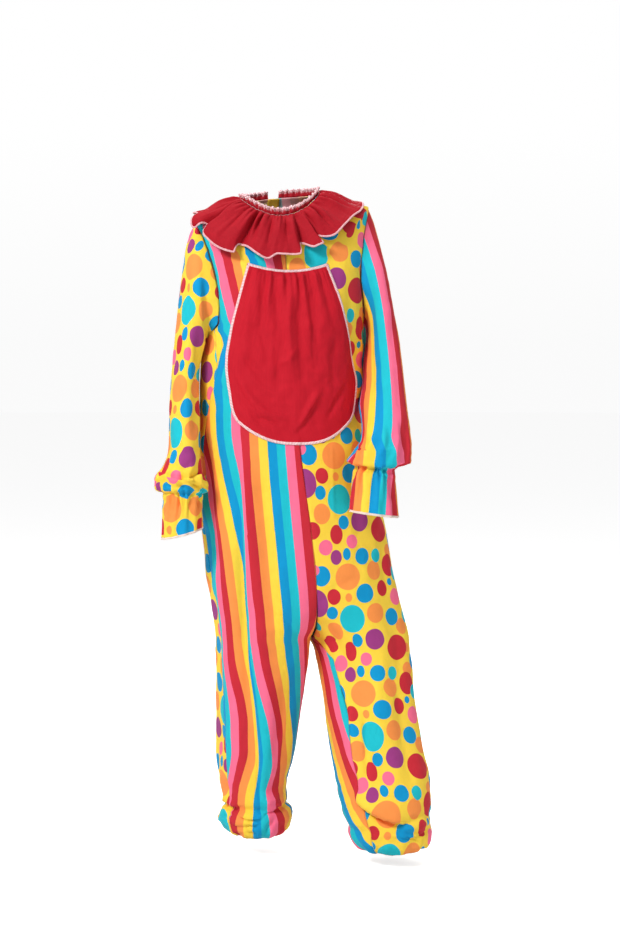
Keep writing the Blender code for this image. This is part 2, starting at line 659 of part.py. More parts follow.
# ---------------------------------------------------------------- tummy patch
def front_point(x, z):
    """(side, run, angle) on the front of the body cloth, above the crotch, with that x and z."""
    run, angle = UNDERARM_DROP - z, np.full(x.shape, 90.0)
    for _ in range(25):
        side = np.where(x >= smooth(TORSO, "middle", run), 1, -1)
        left, right = body_point(1, run, angle), body_point(-1, run, angle)
        found = np.where((side > 0)[:, None], left, right)
        wide = np.where(side > 0, smooth(SECTIONS[1], "wide", run), smooth(SECTIONS[-1], "wide", run))
        cosine = np.cos(np.radians(angle)) + (x - found[:, 0]) * side / wide
        run = run + 0.8 * (found[:, 2] - z)
        angle = np.degrees(np.arccos(np.clip(cosine, -1, 1)))
    return side, run, angle


def patch_rows(columns, rows_down, lift, gathers):
    """Rows of (points, outward normals) over the patch's outline."""
    found = []
    for down in 1 - np.linspace(1, 0, rows_down + 1) ** 1.5:
        across = np.sin(np.linspace(-1, 1, columns + 1) * 1.2) / math.sin(1.2)
        half = float(smooth(PATCH, "half", down, key="down"))
        top = PATCH_TOP_Z - PATCH_DIP * (1 - across**2)
        low = PATCH_LOW_Z + PATCH_CORNER_RISE * np.abs(across) ** 2.6
        z = top + (low - top) * down
        off = float(smooth(PATCH, "off", down, key="down"))
        x = smooth(TORSO, "middle", UNDERARM_DROP - z) + off + half * across
        side, run, angle = front_point(x, z)
        point = np.where((side > 0)[:, None], body_point(1, run, angle), body_point(-1, run, angle))
        right, left = body_normal(-1, run, angle), body_normal(1, run, angle)
        normal = np.where((side > 0)[:, None], left, right)
        inside = (1 - across**4) * ease(down / 0.08) * ease((1 - down) / 0.25)
        puff = gathers * (1 + np.cos(math.pi * (2 * PATCH_GATHERS) * across)) * np.exp(-((down / 0.3) ** 2))
        swell = lift + RUFFLE_CLOTH + inside * (2.0 + puff)
        found.append((point + normal * swell[:, None], normal))
    return found


def tummy_patch(material):
    rows = [
        (outer, outer - RUFFLE_CLOTH * normal)
        for outer, normal in patch_rows(PATCH_COLUMNS, PATCH_ROWS, PATCH_LIFT, PATCH_GATHER_RISE)
    ]
    wall_mesh("tummy_patch", rows, False, material)


# ---------------------------------------------------------------- back zip
def back_zip(left_rows, right_rows, material):
    """The tapes and the closed chain between them, as one piece under the edges of the two back panels."""
    rows = []
    for left, right in zip(left_rows, right_rows):
        edges = [(outer[-1], inner[-1], inner[-2]) for outer, inner in (right, left)]
        across = unit(edges[1][0] - edges[0][0])
        out = unit(sum(outer - inner for outer, inner, _ in edges))
        middle = (edges[0][0] + edges[1][0]) / 2
        tapes = []
        for outer, inner, beyond in edges:
            share = (ZIP_TAPE_WIDTH - ZIP_OPENING) / 2 / np.linalg.norm(beyond - inner)
            tapes.append(inner + (beyond - inner) * share - SEAM_GAP * unit(outer - inner))
        chain, face = across * ZIP_CHAIN_WIDTH / 2, out * (CLOTH + SEAM_GAP)
        low = [middle - 1.08 * chain - face, middle + 1.08 * chain - face]
        outer = [tapes[0], low[0], middle - chain, middle + chain, low[1], tapes[1]]
        inner = [tapes[0], low[0], low[0] + 0.2 * across, low[1] - 0.2 * across, low[1], tapes[1]]
        rows.append((np.array(outer), np.array(inner) - ZIP_TAPE * out))
    wall_mesh("back_zip", rows, False, material)


def slider_frame(left_rows, right_rows):
    """An empty on the chain at the slider, with its local Z out of the cloth and its local Y up the zip."""
    below = YOKE_ROWS * SLIDER_RUN / TIP_RUN
    k, share = int(below), below - int(below)
    ends = [(left_rows[j][0][-1] + right_rows[j][0][-1]) / 2 for j in (k, k + 1)]
    middle = ends[0] * (1 - share) + ends[1] * share
    up = unit(ends[0] - ends[1])
    sideways = np.array([-1.0, 0.0, 0.0])
    out = unit(np.cross(sideways, up))
    frame = bpy.data.objects.new("slider_frame", None)
    PARTS.objects.link(frame)
    placed = np.eye(4)
    placed[:3, 0], placed[:3, 1], placed[:3, 2] = np.cross(up, out), up, out
    placed[:3, 3] = (middle + SEAM_GAP * 1.5 * out) / METRE
    frame.matrix_world = Matrix(placed.tolist())
    return frame


def box(name, size, centre, material, parent, bevel=0.0):
    bpy.ops.mesh.primitive_cube_add(size=1)
    thing = bpy.context.object
    thing.name = name
    for vertex in thing.data.vertices:
        for axis in range(3):
            vertex.co[axis] = (vertex.co[axis] * size[axis] + centre[axis]) / METRE
    if bevel:
        rounding = thing.modifiers.new("Rounding", "BEVEL")
        rounding.width, rounding.segments = bevel / METRE, 2
    thing.data.materials.append(material)
    move(thing, PARTS)
    thing.parent = parent
    return thing


def move(thing, home):
    for old in list(thing.users_collection):
        old.objects.unlink(thing)
    home.objects.link(thing)


def combine(thing, tool, operation):
    change = thing.modifiers.new(operation.title(), "BOOLEAN")
    change.operation, change.object, change.solver = operation, tool, "EXACT"
    move(tool, CUTTERS)
    tool.hide_render, tool.display_type = True, "WIRE"


def zip_slider(material, frame):
    """The slider's plate with the bridge that its pull tab hangs from. Local Z is 0 at its underside."""
    size = SLIDER_WIDE, SLIDER_LONG, SLIDER_THICK
    body = box("zip_slider", size, (0, 0, SLIDER_THICK / 2), material, frame, 0.8)
    size = BRIDGE_WIDE, BRIDGE_LONG, BRIDGE_HIGH + 0.5
    bridge = box("slider_bridge", size, (0, 0, SLIDER_THICK + BRIDGE_HIGH / 2 - 0.25), material, frame, 0.4)
    under = BRIDGE_HIGH - BRIDGE_THICK
    size = BRIDGE_WIDE + 2, BRIDGE_LONG - 2 * BRIDGE_THICK, under
    passage = box("bridge_passage", size, (0, 0, SLIDER_THICK + under / 2), material, frame)
    combine(body, bridge, "UNION")
    combine(body, passage, "DIFFERENCE")
    return SLIDER_THICK + under / 2


def pull_tab(material, frame, bar_z):
    """The slider's pull tab, lying down the zip, with its bar under the bridge."""
    reach = PULL_LONG + PULL_BAR / 2
    centre = 0, PULL_BAR / 2 - reach / 2, bar_z
    tab = box("pull_tab", (PULL_WIDE, reach, PULL_THICK), centre, material, frame, 0.45)
    size = PULL_HOLE_WIDE, PULL_HOLE, 4 * PULL_THICK
    hole = box("pull_hole", size, (0, -PULL_BAR / 2 - PULL_HOLE / 2, bar_z), material, frame)
    combine(tab, hole, "DIFFERENCE")
    return tab


def main():
    for old in list(bpy.data.objects):
        bpy.data.objects.remove(old, do_unlink=True)
    stripes = cloth_material("stripe_cloth", (0.03, 0.38, 0.72))
    dots = cloth_material("dot_cloth", (0.95, 0.66, 0.1))
    red = cloth_material("red_cloth", (0.45, 0.02, 0.04))
    tape = cloth_material("zip_tape", (0.8, 0.5, 0.1))
    metal = cloth_material("zip_enamel", (0.85, 0.62, 0.12), 0.35)
    front_right = panel("front_right", -1, True, stripes)
    back_right = panel("back_right", -1, False, dots)
    front_left = panel("front_left", 1, True, dots)
    back_left = panel("back_left", 1, False, stripes)
    sleeve("sleeve_right", -1, front_right, back_right, dots)
    sleeve("sleeve_left", 1, front_left, back_left, stripes)
    neck_flounce(red)
    neck_heading(red)
    tummy_patch(red)
    zipped = range(YOKE_ROWS + ARMHOLE_ROWS + CHEST_ROWS + 1)
    lefts, rights = [back_left[k] for k in zipped], [back_right[k] for k in zipped]
    back_zip(lefts, rights, tape)
    frame = slider_frame(lefts, rights)
    pull_tab(metal, frame, zip_slider(metal, frame))


PARTS = bpy.data.collections.new("clown_jumpsuit")
CUTTERS = bpy.data.collections.new("cutters")
bpy.context.scene.collection.children.link(PARTS)
bpy.context.scene.collection.children.link(CUTTERS)
main()
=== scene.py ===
"""The clown jumpsuit as it looks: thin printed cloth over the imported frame's solids, with its folds, seams,
overlocked edges and zip. Sizes are in millimetres until a mesh is made, which is in metres.
"""

import math

import bpy
import numpy as np
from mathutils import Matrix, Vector, noise


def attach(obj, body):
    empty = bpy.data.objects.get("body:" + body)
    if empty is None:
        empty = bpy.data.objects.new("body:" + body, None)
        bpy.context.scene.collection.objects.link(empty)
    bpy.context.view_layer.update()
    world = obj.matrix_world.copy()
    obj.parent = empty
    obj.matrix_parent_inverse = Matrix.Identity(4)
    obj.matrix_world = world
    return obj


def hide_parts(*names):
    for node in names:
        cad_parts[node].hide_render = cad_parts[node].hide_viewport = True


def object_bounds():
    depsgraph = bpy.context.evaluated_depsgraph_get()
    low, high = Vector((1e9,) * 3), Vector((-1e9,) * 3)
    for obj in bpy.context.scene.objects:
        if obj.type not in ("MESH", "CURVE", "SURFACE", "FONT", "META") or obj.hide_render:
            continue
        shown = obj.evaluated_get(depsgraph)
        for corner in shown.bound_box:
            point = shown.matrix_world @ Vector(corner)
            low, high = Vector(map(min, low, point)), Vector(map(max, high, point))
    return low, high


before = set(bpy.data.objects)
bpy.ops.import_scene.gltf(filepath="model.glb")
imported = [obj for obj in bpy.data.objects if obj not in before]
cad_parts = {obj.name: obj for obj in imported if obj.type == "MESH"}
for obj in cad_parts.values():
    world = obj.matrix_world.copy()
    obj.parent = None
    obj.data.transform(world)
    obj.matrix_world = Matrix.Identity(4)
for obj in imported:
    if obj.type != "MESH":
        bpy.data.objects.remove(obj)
CAD_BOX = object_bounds()

METRE = 1000.0
GARMENT = "garment"
CLOTH, RUFFLE_CLOTH, SEAM_GAP = 2.0, 1.4, 0.3  # the solids' walls and the gaps between them
SHELL = 1.0  # thickness of the cloth that shows
TIP_RUN, UNDERARM_RUN, CROTCH_RUN = 120.0, 344.0, 1022.0  # distances down the side line from the neck
UNDERARM_Z = -262.0
ELASTIC_GATHERS, ELASTIC_RISE, ELASTIC_REACH, ELASTIC_EASE = 13, 3.0, 62.0, 50.0
SEAM_CLEAR, CROTCH_CLEAR = 26.0, 60.0  # how near a centre seam, and how far below the crotch, folds fade
STRIDE_BEND, STRIDE_RUN = 1.3, 170.0  # how the stride grows from the centre seam, and below the crotch
ROW_STEP, FRONT_SPANS, BACK_SPANS, SLEEVE_SPANS = 5.0, 84, 76, 96


def table(columns, *rows):
    """A short table as {column name: array}."""
    return dict(zip(columns.split(), np.array(rows, float).T))


def each(rows):
    """A table's rows, a dictionary each."""
    return [dict(zip(rows, values)) for values in zip(*rows.values())]


# Half sections of the torso. middle is the centre seam's x; right and left are the widths from it to each
# side; split goes from 0, one round section, to 1, two legs that meet; tilt is the slope of the shoulders;
# full squares the section; stride moves the left side forward.
TORSO = table(
    "run side_z front_z back_z middle right left front back split tilt full stride",
    (0, 15, -24, 20, -2, 78, 82, 76, 60, 0, 0.10, 0, 0),
    (40, 3, -52, -2, -2, 114, 120, 84, 76, 0, 0.10, 0, 0),
    (80, -9, -86, -38, -2, 148, 159, 96, 88, 0, 0.10, 0, 0),
    (120, -22, -122, -84, -1, 181, 197, 106, 97, 0, 0.10, 0, 0),
    (165, -66, -156, -128, 0, 179, 195, 113, 102, 0, 0.09, 0.04, 0),
    (210, -114, -189, -166, 1, 174, 191, 118, 105, 0, 0.08, 0.1, 0),
    (255, -164, -217, -203, 2, 169, 187, 122, 107, 0, 0.06, 0.16, 0),
    (300, -213, -245, -238, 3, 167, 184, 125, 108, 0, 0.04, 0.2, 0),
    (344, -262, -276, -272, 4, 167, 179, 127, 108, 0, 0.03, 0.22, 0),
    (420, -338, -342, -341, 8, 180, 163, 130, 104, 0, 0.01, 0.22, 0),
    (512, -430, -430, -430, 14, 188, 161, 134, 104, 0, 0, 0.22, 0),
    (617, -535, -535, -535, 25, 197, 171, 139, 112, 0, 0, 0.22, 0),
    (772, -690, -690, -690, 46, 216, 182, 141, 121, 0.06, 0, 0.2, -2),
    (860, -778, -778, -778, 57, 221, 187, 135, 122, 0.25, 0, 0.17, -6),
    (940, -858, -858, -858, 64, 215, 199, 126, 118, 0.60, 0, 0.11, -14),
    (990, -908, -908, -908, 68, 212, 205, 119, 115, 0.87, 0, 0.04, -21),
    (1022, -940, -940, -940, 70, 210, 209, 115, 112, 1, 0, 0, -27),
)

# Angles at which the front and back panels end, on each side: armhole edges, then one side seam.
EDGES = table(
    "run right_fore right_aft left_fore left_aft",
    (120, 0, 0, 0, 0),
    (142, 18, -17, 17, -17),
    (165, 25, -22, 24, -23),
    (210, 30, -24, 28, -26),
    (255, 32, -19, 27, -26),
    (300, 31, -3, 19, -19),
    (330, 28, 12, 8, -9),
    (344, 22, 22, 0, 0),
    (420, 31, 31, -3, -3),
    (470, 30, 30, -5, -5),
    (530, 17, 17, -6, -6),
    (617, 7, 7, -8, -8),
    (772, 5, 5, -10, -10),
    (940, 13, 13, -12, -12),
    (1022, 15, 15, -14, -14),
)

# Leg sections: out is the centre's distance from the crotch line, turn_in and turn_side move the seams
# forward.
RIGHT_LEG = table(
    "run z out wide stride deep turn_in turn_side",
    (1060, -978, 106, 103, 0, 109, 1, 15),
    (1170, -1090, 113, 94, 3, 102, 3, 18),
    (1275, -1195, 121, 84, 6, 94, 5, 28),
    (1340, -1260, 127, 74, 8, 88, 8, 31),
    (1374, -1294, 124, 71, 8, 86, 8, 32),
    (1390, -1305, 122, 67, 8, 78, 8, 32),
    (1410, -1315, 121, 76, 6, 84, 8, 32),
    (1432, -1333, 121, 80, 5, 88, 8, 32),
    (1456, -1354, 121, 73, 4, 84, 8, 32),
    (1474, -1367, 121, 60, 3, 70, 8, 32),
    (1486, -1371, 121, 50, 2, 60, 8, 32),
)
LEFT_LEG = table(
    "run z out wide stride deep turn_in turn_side",
    (1060, -978, 110, 99, -38, 110, 28, -18),
    (1170, -1090, 117, 97, -68, 104, 44, -24),
    (1275, -1195, 129, 98, -98, 101, 49, -28),
    (1340, -1260, 137, 98, -118, 99, 50, -30),
    (1374, -1290, 141, 97, -128, 98, 51, -30),
    (1400, -1316, 144, 93, -134, 95, 51, -30),
    (1420, -1332, 147, 88, -139, 90, 51, -30),
    (1444, -1347, 149, 91, -142, 91, 51, -30),
    (1468, -1367, 150, 84, -145, 84, 51, -30),
    (1484, -1379, 151, 74, -146, 74, 51, -30),
    (1494, -1381, 151, 66, -147, 66, 51, -30),
)

# The largest folds of the body cloth: a trough (negative) or ridge along a slanting line. FOLD_ENDS are the
# shares of its length over which it eases in at its top and out at its foot.
FOLD_ENDS = (0.25, 0.12)
FOLDS = table(
    "side top_run top_angle low_run low_angle rise half_width",
    (-1, 740, 36, 1345, 84, -13, 24),
    (-1, 790, 54, 1345, 102, 7, 26),
    (-1, 1060, 124, 1370, 114, -10, 24),
    (-1, 620, 62, 1000, 74, -5, 26),
    (-1, 700, 12, 1300, 10, -6, 28),
    (-1, 760, -60, 1340, -72, -10, 27),
    (-1, 860, -110, 1350, -118, -9, 25),
    (-1, 360, -52, 640, -46, -7, 28),
    (1, 900, 48, 1350, 62, -6, 28),
    (1, 1060, 112, 1330, 96, -9, 26),
    (1, 640, 30, 1290, 22, 6, 28),
    (1, 780, -62, 1350, -78, -10, 28),
    (1, 900, -112, 1360, -124, -9, 26),
    (1, 360, -50, 640, -44, -7, 28),
)

# Sleeve sections, mirrored for the right: each ring runs from the outer line to the inner line and is deep
# from front to back; fade is the share of the armhole's own outline that is left in the ring.
SLEEVE_COLUMNS = "run outer_x outer_z inner_x inner_z y deep fade"
RIGHT_SLEEVE = table(
    SLEEVE_COLUMNS,
    (0, 184, -40, 161, -267, 0, 60, 1),
    (26, 198, -66, 170, -277, -4, 66, 0.7),
    (62, 207, -106, 173, -302, -8, 71, 0.35),
    (112, 214, -160, 176, -335, -12, 74, 0.1),
    (170, 221, -222, 177, -372, -17, 75, 0),
    (260, 231, -306, 178, -424, -27, 72, 0),
    (345, 239, -384, 179, -474, -39, 69, 0),
    (420, 245, -460, 180, -520, -52, 66, 0),
    (462, 248, -520, 179, -554, -60, 63, 0),
    (492, 260, -560, 176, -578, -67, 61, 0),
    (518, 277, -588, 165, -596, -72, 59, 0),
    (538, 275, -606, 164, -609, -73, 54, 0),
    (556, 257, -614, 181, -616, -73, 40, 0),
    (572, 256, -630, 181, -630, -73, 40, 0),
    (600, 261, -656, 179, -652, -75, 43, 0),
    (655, 266, -712, 178, -690, -77, 46, 0),
)
LEFT_SLEEVE = table(
    SLEEVE_COLUMNS,
    (0, 196, -2, 184, -257, 0, 60, 1),
    (26, 207, -32, 189, -266, -4, 65, 0.7),
    (62, 216, -68, 189, -284, -10, 70, 0.35),
    (112, 225, -112, 185, -308, -20, 72, 0.1),
    (170, 235, -170, 179, -342, -34, 71, 0),
    (260, 245, -250, 171, -392, -60, 66, 0),
    (345, 252, -340, 159, -436, -97, 60, 0),
    (410, 254, -420, 156, -476, -130, 55, 0),
    (442, 255, -470, 152, -500, -149, 53, 0),
    (468, 256, -514, 141, -524, -160, 52, 0),
    (490, 255, -548, 118, -546, -169, 48, 0),
    (510, 216, -554, 141, -552, -171, 38, 0),
    (526, 216, -566, 138, -564, -172, 38, 0),
    (560, 220, -596, 129, -592, -174, 42, 0),
    (622, 226, -664, 122, -650, -177, 46, 0),
)
CUFF_RUN = {-1: 556, 1: 510}  # run of the elastic
CUFF_GATHERS, CUFF_WAVE, CUFF_REACH = 12, 2.4, 22.0
FRILL_WAVE, FRILL_LONG = 2.0, 80.0
SLEEVE_FOLD_DEPTH = 9.0
SLEEVE_FOLDS = ((118, 20, 1.0), (292, 22, 0.8))  # folds down a sleeve: angle, reach and share of the depth

# Neck ruffle: one gathered strip whose ends meet at the zip, with a heading above the stitched line and a
# flounce below it.
RUFFLE_SPANS, RUFFLE_ROWS = 620, 30
RUFFLE_LIFT, RUFFLE_LOW, RUFFLE_WAVE = 2.0, 4.0, 23.0
RUFFLE_END, RUFFLE_END_SPREAD = 8.0, 7.0  # degrees from the centre back to its ends, and more at its hem
RUFFLE = table(
    "turn reach lift lean",
    (-165, 106, 0.7, 0),
    (-158, 98, 0, 0),
    (-145, 112, 1, 4),
    (-132, 100, 0, 0),
    (-119, 110, 0.9, -4),
    (-107, 98, 0, 0),
    (-96, 104, 0.55, 3),
    (-85, 98, 0.15, 0),
    (-79, 112, 0.6, 0),
    (-72, 119, 0.75, 5),
    (-65, 104, 0, 0),
    (-58, 128, 0.8, -3),
    (-47, 138, 1, 2),
    (-39, 132, 0.9, 9),
    (-33, 102, 0, 0),
    (-28, 104, 0.4, 0),
    (-22, 112, 0.8, 0),
    (-14, 122, 1, 0),
    (-6, 108, 0.75, 0),
    (0, 110, 0.85, 2),
    (6, 114, 0.95, 5),
    (11, 86, 0, 0),
    (16, 108, 0.9, 5),
    (19, 108, 1, 14),
    (22, 80, 0, 0),
    (26, 96, 0.7, -2),
    (32, 106, 1, 0),
    (41, 102, 0.9, 0),
    (52, 100, 0.45, 0),
    (62, 104, 0.3, 0),
    (72, 102, 0.02, 0),
    (84, 98, 0.02, 0),
    (95, 96, 0, 0),
    (107, 102, 0.3, -2),
    (119, 98, 0, 0),
    (132, 110, 1, 4),
    (145, 98, 0, 0),
    (156, 110, 0.9, -3),
    (165, 106, 0.6, 0),
)
HEADING_GATHERS, HEADING_SPANS, HEADING_ROWS = 36, 432, 6
HEADING_HEIGHT, HEADING_WAVE = 13.0, 2.6

# Tummy patch: half-widths down its sides and its middle's distance from the centre seam.
PATCH = table(
    "down half off",
    (0, 85, 2),
    (0.25, 112, 3),
    (0.5, 132, 4),
    (0.7, 140, 4),
    (0.86, 136, 2),
    (0.94, 131, 0),
    (1, 122, -2),
)
PATCH_TOP_Z, PATCH_LOW_Z, PATCH_DIP = -128.0, -511.0, 15.0
PATCH_CORNER_RISE, PATCH_CORNER_BEND = 50.0, 2.6
PATCH_CLOSER_DOWN, PATCH_CLOSER_ACROSS = 1.25, 1.2  # how much closer rows and columns lie at the edges
PATCH_COLUMNS, PATCH_ROWS, PATCH_LIFT = 84, 100, 1.1

# Back zip, from the neck edge down to ZIP_END_RUN.
ZIP_END_RUN = 600.0
ZIP_OPENING, ZIP_TAPE_WIDTH, ZIP_TAPE = 5.0, 26.0, 0.8
TAPE_COLUMNS, TAPE_STEP = (ZIP_OPENING / 2, 5.0, 9.0, ZIP_TAPE_WIDTH / 2), 4.0
TAPE_MIDDLE = 0.3  # half the width of the narrow strip under the chain
TOOTH_PITCH, TOOTH_HALF_WIDE, TOOTH_HALF_LONG, TOOTH_OFFSET = 1.6, 1.6, 0.55, 0.5
TOOTH_HALF_HIGH = 0.7
TOOTH_RINGS = ((-TOOTH_HALF_HIGH, 1.0), (0.35, 1.0), (TOOTH_HALF_HIGH, 0.72))  # height, share of its size

# Overlock thread: how wide it is along the cloth and how high it stands on both sides of it together.
FLOUNCE_THREAD, HEADING_THREAD, PATCH_THREAD = (4.6, 2.6), (5.4, 3.0), (6.4, 2.4)
HEM_THREAD, CUFF_THREAD = (3.4, 1.9), (5.2, 1.9)
HEM_SUNK, RUFFLE_SUNK = 0.4, 0.5  # how far inside the cloth's face the thread's middle is
HEM_BACK, PATCH_BACK = 0.15, 2.0  # how far from the edge: a share of the last row's height, and millimetres
STITCH_LENGTH, STITCH_GAP, STITCH_THICKNESS = 2.6, 1.0, 0.8
STITCH_SIDES, STITCH_PLACES, TUBE_SIDES = 6, 400, 8
STITCH_DOWN, STITCH_LIFT, STITCH_TURN = (0.025, 0.045), 0.35, 178
STITCH = ((-0.5, 0.25), (-0.32, 0.9), (0.32, 0.9), (0.5, 0.25))  # place along it and thickness, as shares


# ---------------------------------------------------------------- surfaces
def hermite(share, step, low, high, low_slope, high_slope):
    """The cubic from low to high with those slopes at its ends, at those shares of the step between them."""
    s = share
    start = (1 + 2 * s) * (1 - s) ** 2 * low + s * (1 - s) ** 2 * step * low_slope
    return start + s * s * (3 - 2 * s) * high + s * s * (s - 1) * step * high_slope


def smooth(rows, column, at, key="run"):
    """A table's column at those runs, on a curve through its rows that doesn't overshoot them."""
    x, y = rows[key], rows[column]
    at = np.clip(np.asarray(at, float), x[0], x[-1])
    step, rise = np.diff(x), np.diff(y)
    slope = rise / step
    tangent = np.zeros(len(x))
    tangent[0], tangent[-1] = slope[0], slope[-1]
    same = slope[1:] * slope[:-1] > 0
    weight_a, weight_b = 2 * step[1:] + step[:-1], step[1:] + 2 * step[:-1]
    both = np.where(same, slope[1:] * slope[:-1], 1.0)
    mean = (weight_a + weight_b) * both / np.where(same, weight_a * slope[1:] + weight_b * slope[:-1], 1.0)
    tangent[1:-1] = np.where(same, mean, 0.0)
    i = np.clip(np.searchsorted(x, at, side="right") - 1, 0, len(x) - 2)
    return hermite((at - x[i]) / step[i], step[i], y[i], y[i + 1], tangent[i], tangent[i + 1])


def with_leg(side, leg):
    """One side's sections from neck to hem, as a table: the torso's rows and then the leg's."""
    width = TORSO["left" if side > 0 else "right"]
    out = TORSO["split"] / 2 * width
    rows = {name: TORSO[name] for name in ("run", "side_z", "front_z", "back_z")}
    rows |= {
        "out": out,
        "wide": width - out,
        "centre_y": (TORSO["back"] - TORSO["front"]) / 2,
        "deep": (TORSO["back"] + TORSO["front"]) / 2,
        "stride": TORSO["stride"] * (side > 0),
    }
    none = 0 * leg["run"]
    return {
        name: np.append(torso, leg.get("z" if name.endswith("_z") else name, none))
        for name, torso in rows.items()
    }


SECTIONS = {-1: with_leg(-1, RIGHT_LEG), 1: with_leg(1, LEFT_LEG)}
LEGS = {-1: RIGHT_LEG, 1: LEFT_LEG}


def inner_angle(side, run):
    """Section angle of the centre seam, or of the inseam on the leg, on the front."""
    rows = SECTIONS[side]
    run = np.asarray(run, float)
    share = smooth(rows, "out", run) / smooth(rows, "wide", run)
    seam = np.degrees(np.arccos(np.clip(-share, -1, 1)))
    turn = np.interp(run, np.append(CROTCH_RUN, LEGS[side]["run"]), np.append(0, LEGS[side]["turn_in"]))
    return np.where(run < CROTCH_RUN, seam, 180.0 - turn)


def back_inner_angle(side, run):
    front = inner_angle(side, run)
    return np.where(run < CROTCH_RUN, -front, front - 360.0)


def side_angle(side, run, part):
    """Section angle of the armhole edge or the side seam, on the fore or aft panel."""
    name = ("left_" if side > 0 else "right_") + part
    runs = np.append(EDGES["run"], LEGS[side]["run"])
    angles = np.append(EDGES[name], LEGS[side]["turn_side"])
    return np.where(run < TIP_RUN, 0.0, np.interp(run, runs, angles))


def ease(x):
    x = np.clip(x, 0, 1)
    return x * x * (3 - 2 * x)


def fade(share, start, end):
    """1 along a line but for its first and last parts, where it eases from and to 0."""
    return ease(share / start) * ease((1 - share) / end)


def hump(away, reach):
    """1 in the middle of a soft ridge, and about a third at its reach."""
    return np.exp(-((away / reach) ** 2))


def fold_rise(side, run, angle, radius):
    """How far the folds move the cloth out, in millimetres."""
    rise = np.zeros(np.broadcast(run, angle).shape)
    for fold in each(FOLDS):
        if fold["side"] != side:
            continue
        share = (run - fold["top_run"]) / (fold["low_run"] - fold["top_run"])
        middle = fold["top_angle"] + share * (fold["low_angle"] - fold["top_angle"])
        across = np.radians(angle - middle) * radius
        rise = rise + fold["rise"] * fade(share, *FOLD_ENDS) * hump(across, fold["half_width"])
    return rise


def gather_rise(side, run, angle):
    """Gathers that the ankle's elastic makes, in millimetres."""
    hem = LEGS[side]["run"][-1]
    near = ease((run - (hem - ELASTIC_REACH)) / ELASTIC_EASE)
    return ELASTIC_RISE * near * np.cos(np.radians(ELASTIC_GATHERS * angle))


def body_point(side, run, angle):
    """Points of the body cloth's outer face: side is -1 for the wearer's right and 1 for the left, run is the
    distance down the side line, and angle goes round the section from the side (0) to the front (90)."""
    run, angle = np.broadcast_arrays(np.asarray(run, float), np.asarray(angle, float))
    rows = SECTIONS[side]
    wide, deep = smooth(rows, "wide", run), smooth(rows, "deep", run)
    round_angle = np.radians(angle)
    c, s = np.cos(round_angle), np.sin(round_angle)
    across, ahead = c, s * (1 + smooth(TORSO, "full", run) * c * c)
    seam = np.where(angle > 0, inner_angle(side, run) - angle, angle - back_inner_angle(side, run))
    clear = 1 - hump(np.radians(seam) * wide, SEAM_CLEAR)
    below = ease((run - CROTCH_RUN) / CROTCH_CLEAR)
    clear = np.where(run < CROTCH_RUN, clear, clear + (1 - clear) * below)
    rise = fold_rise(side, run, angle, (wide + deep) / 2) * clear + gather_rise(side, run, angle)
    out = smooth(rows, "out", run)
    x = out + (wide + rise) * across
    y = smooth(rows, "centre_y", run) - (deep + rise) * ahead
    away = np.clip((out + wide * across) / (out + wide), 0, 1) ** STRIDE_BEND
    y = y + smooth(rows, "stride", run) * (away + (1 - away) * ease((run - CROTCH_RUN) / STRIDE_RUN))
    front_share = s * s * (s > 0)
    back_share = s * s * (s < 0)
    z = smooth(rows, "side_z", run)
    z = z + (smooth(rows, "front_z", run) - z) * front_share + (smooth(rows, "back_z", run) - z) * back_share
    x = smooth(TORSO, "middle", run) + side * x
    z = z + smooth(TORSO, "tilt", run) * x
    return np.stack([x, y, z], axis=-1)


def by_side(side, make, *at):
    """make(side, ...) for each place, with the side that the place is on."""
    left, right = make(1, *at), make(-1, *at)
    wearer_left = (side > 0).reshape(side.shape + (1,) * (left.ndim - side.ndim))
    return np.where(wearer_left, left, right)


def unit(vectors):
    return vectors / np.maximum(np.linalg.norm(vectors, axis=-1, keepdims=True), 1e-9)


def body_normal(side, run, angle):
    """Outward unit normals of the body cloth."""
    d_run, d_angle = 0.5, 0.25
    low = np.maximum(run - d_run, 0)
    high = np.minimum(run + d_run, SECTIONS[side]["run"][-1])
    down = body_point(side, high, angle) - body_point(side, low, angle)
    round_it = body_point(side, run, angle + d_angle) - body_point(side, run, angle - d_angle)
    return unit(np.cross(round_it, down) * side)


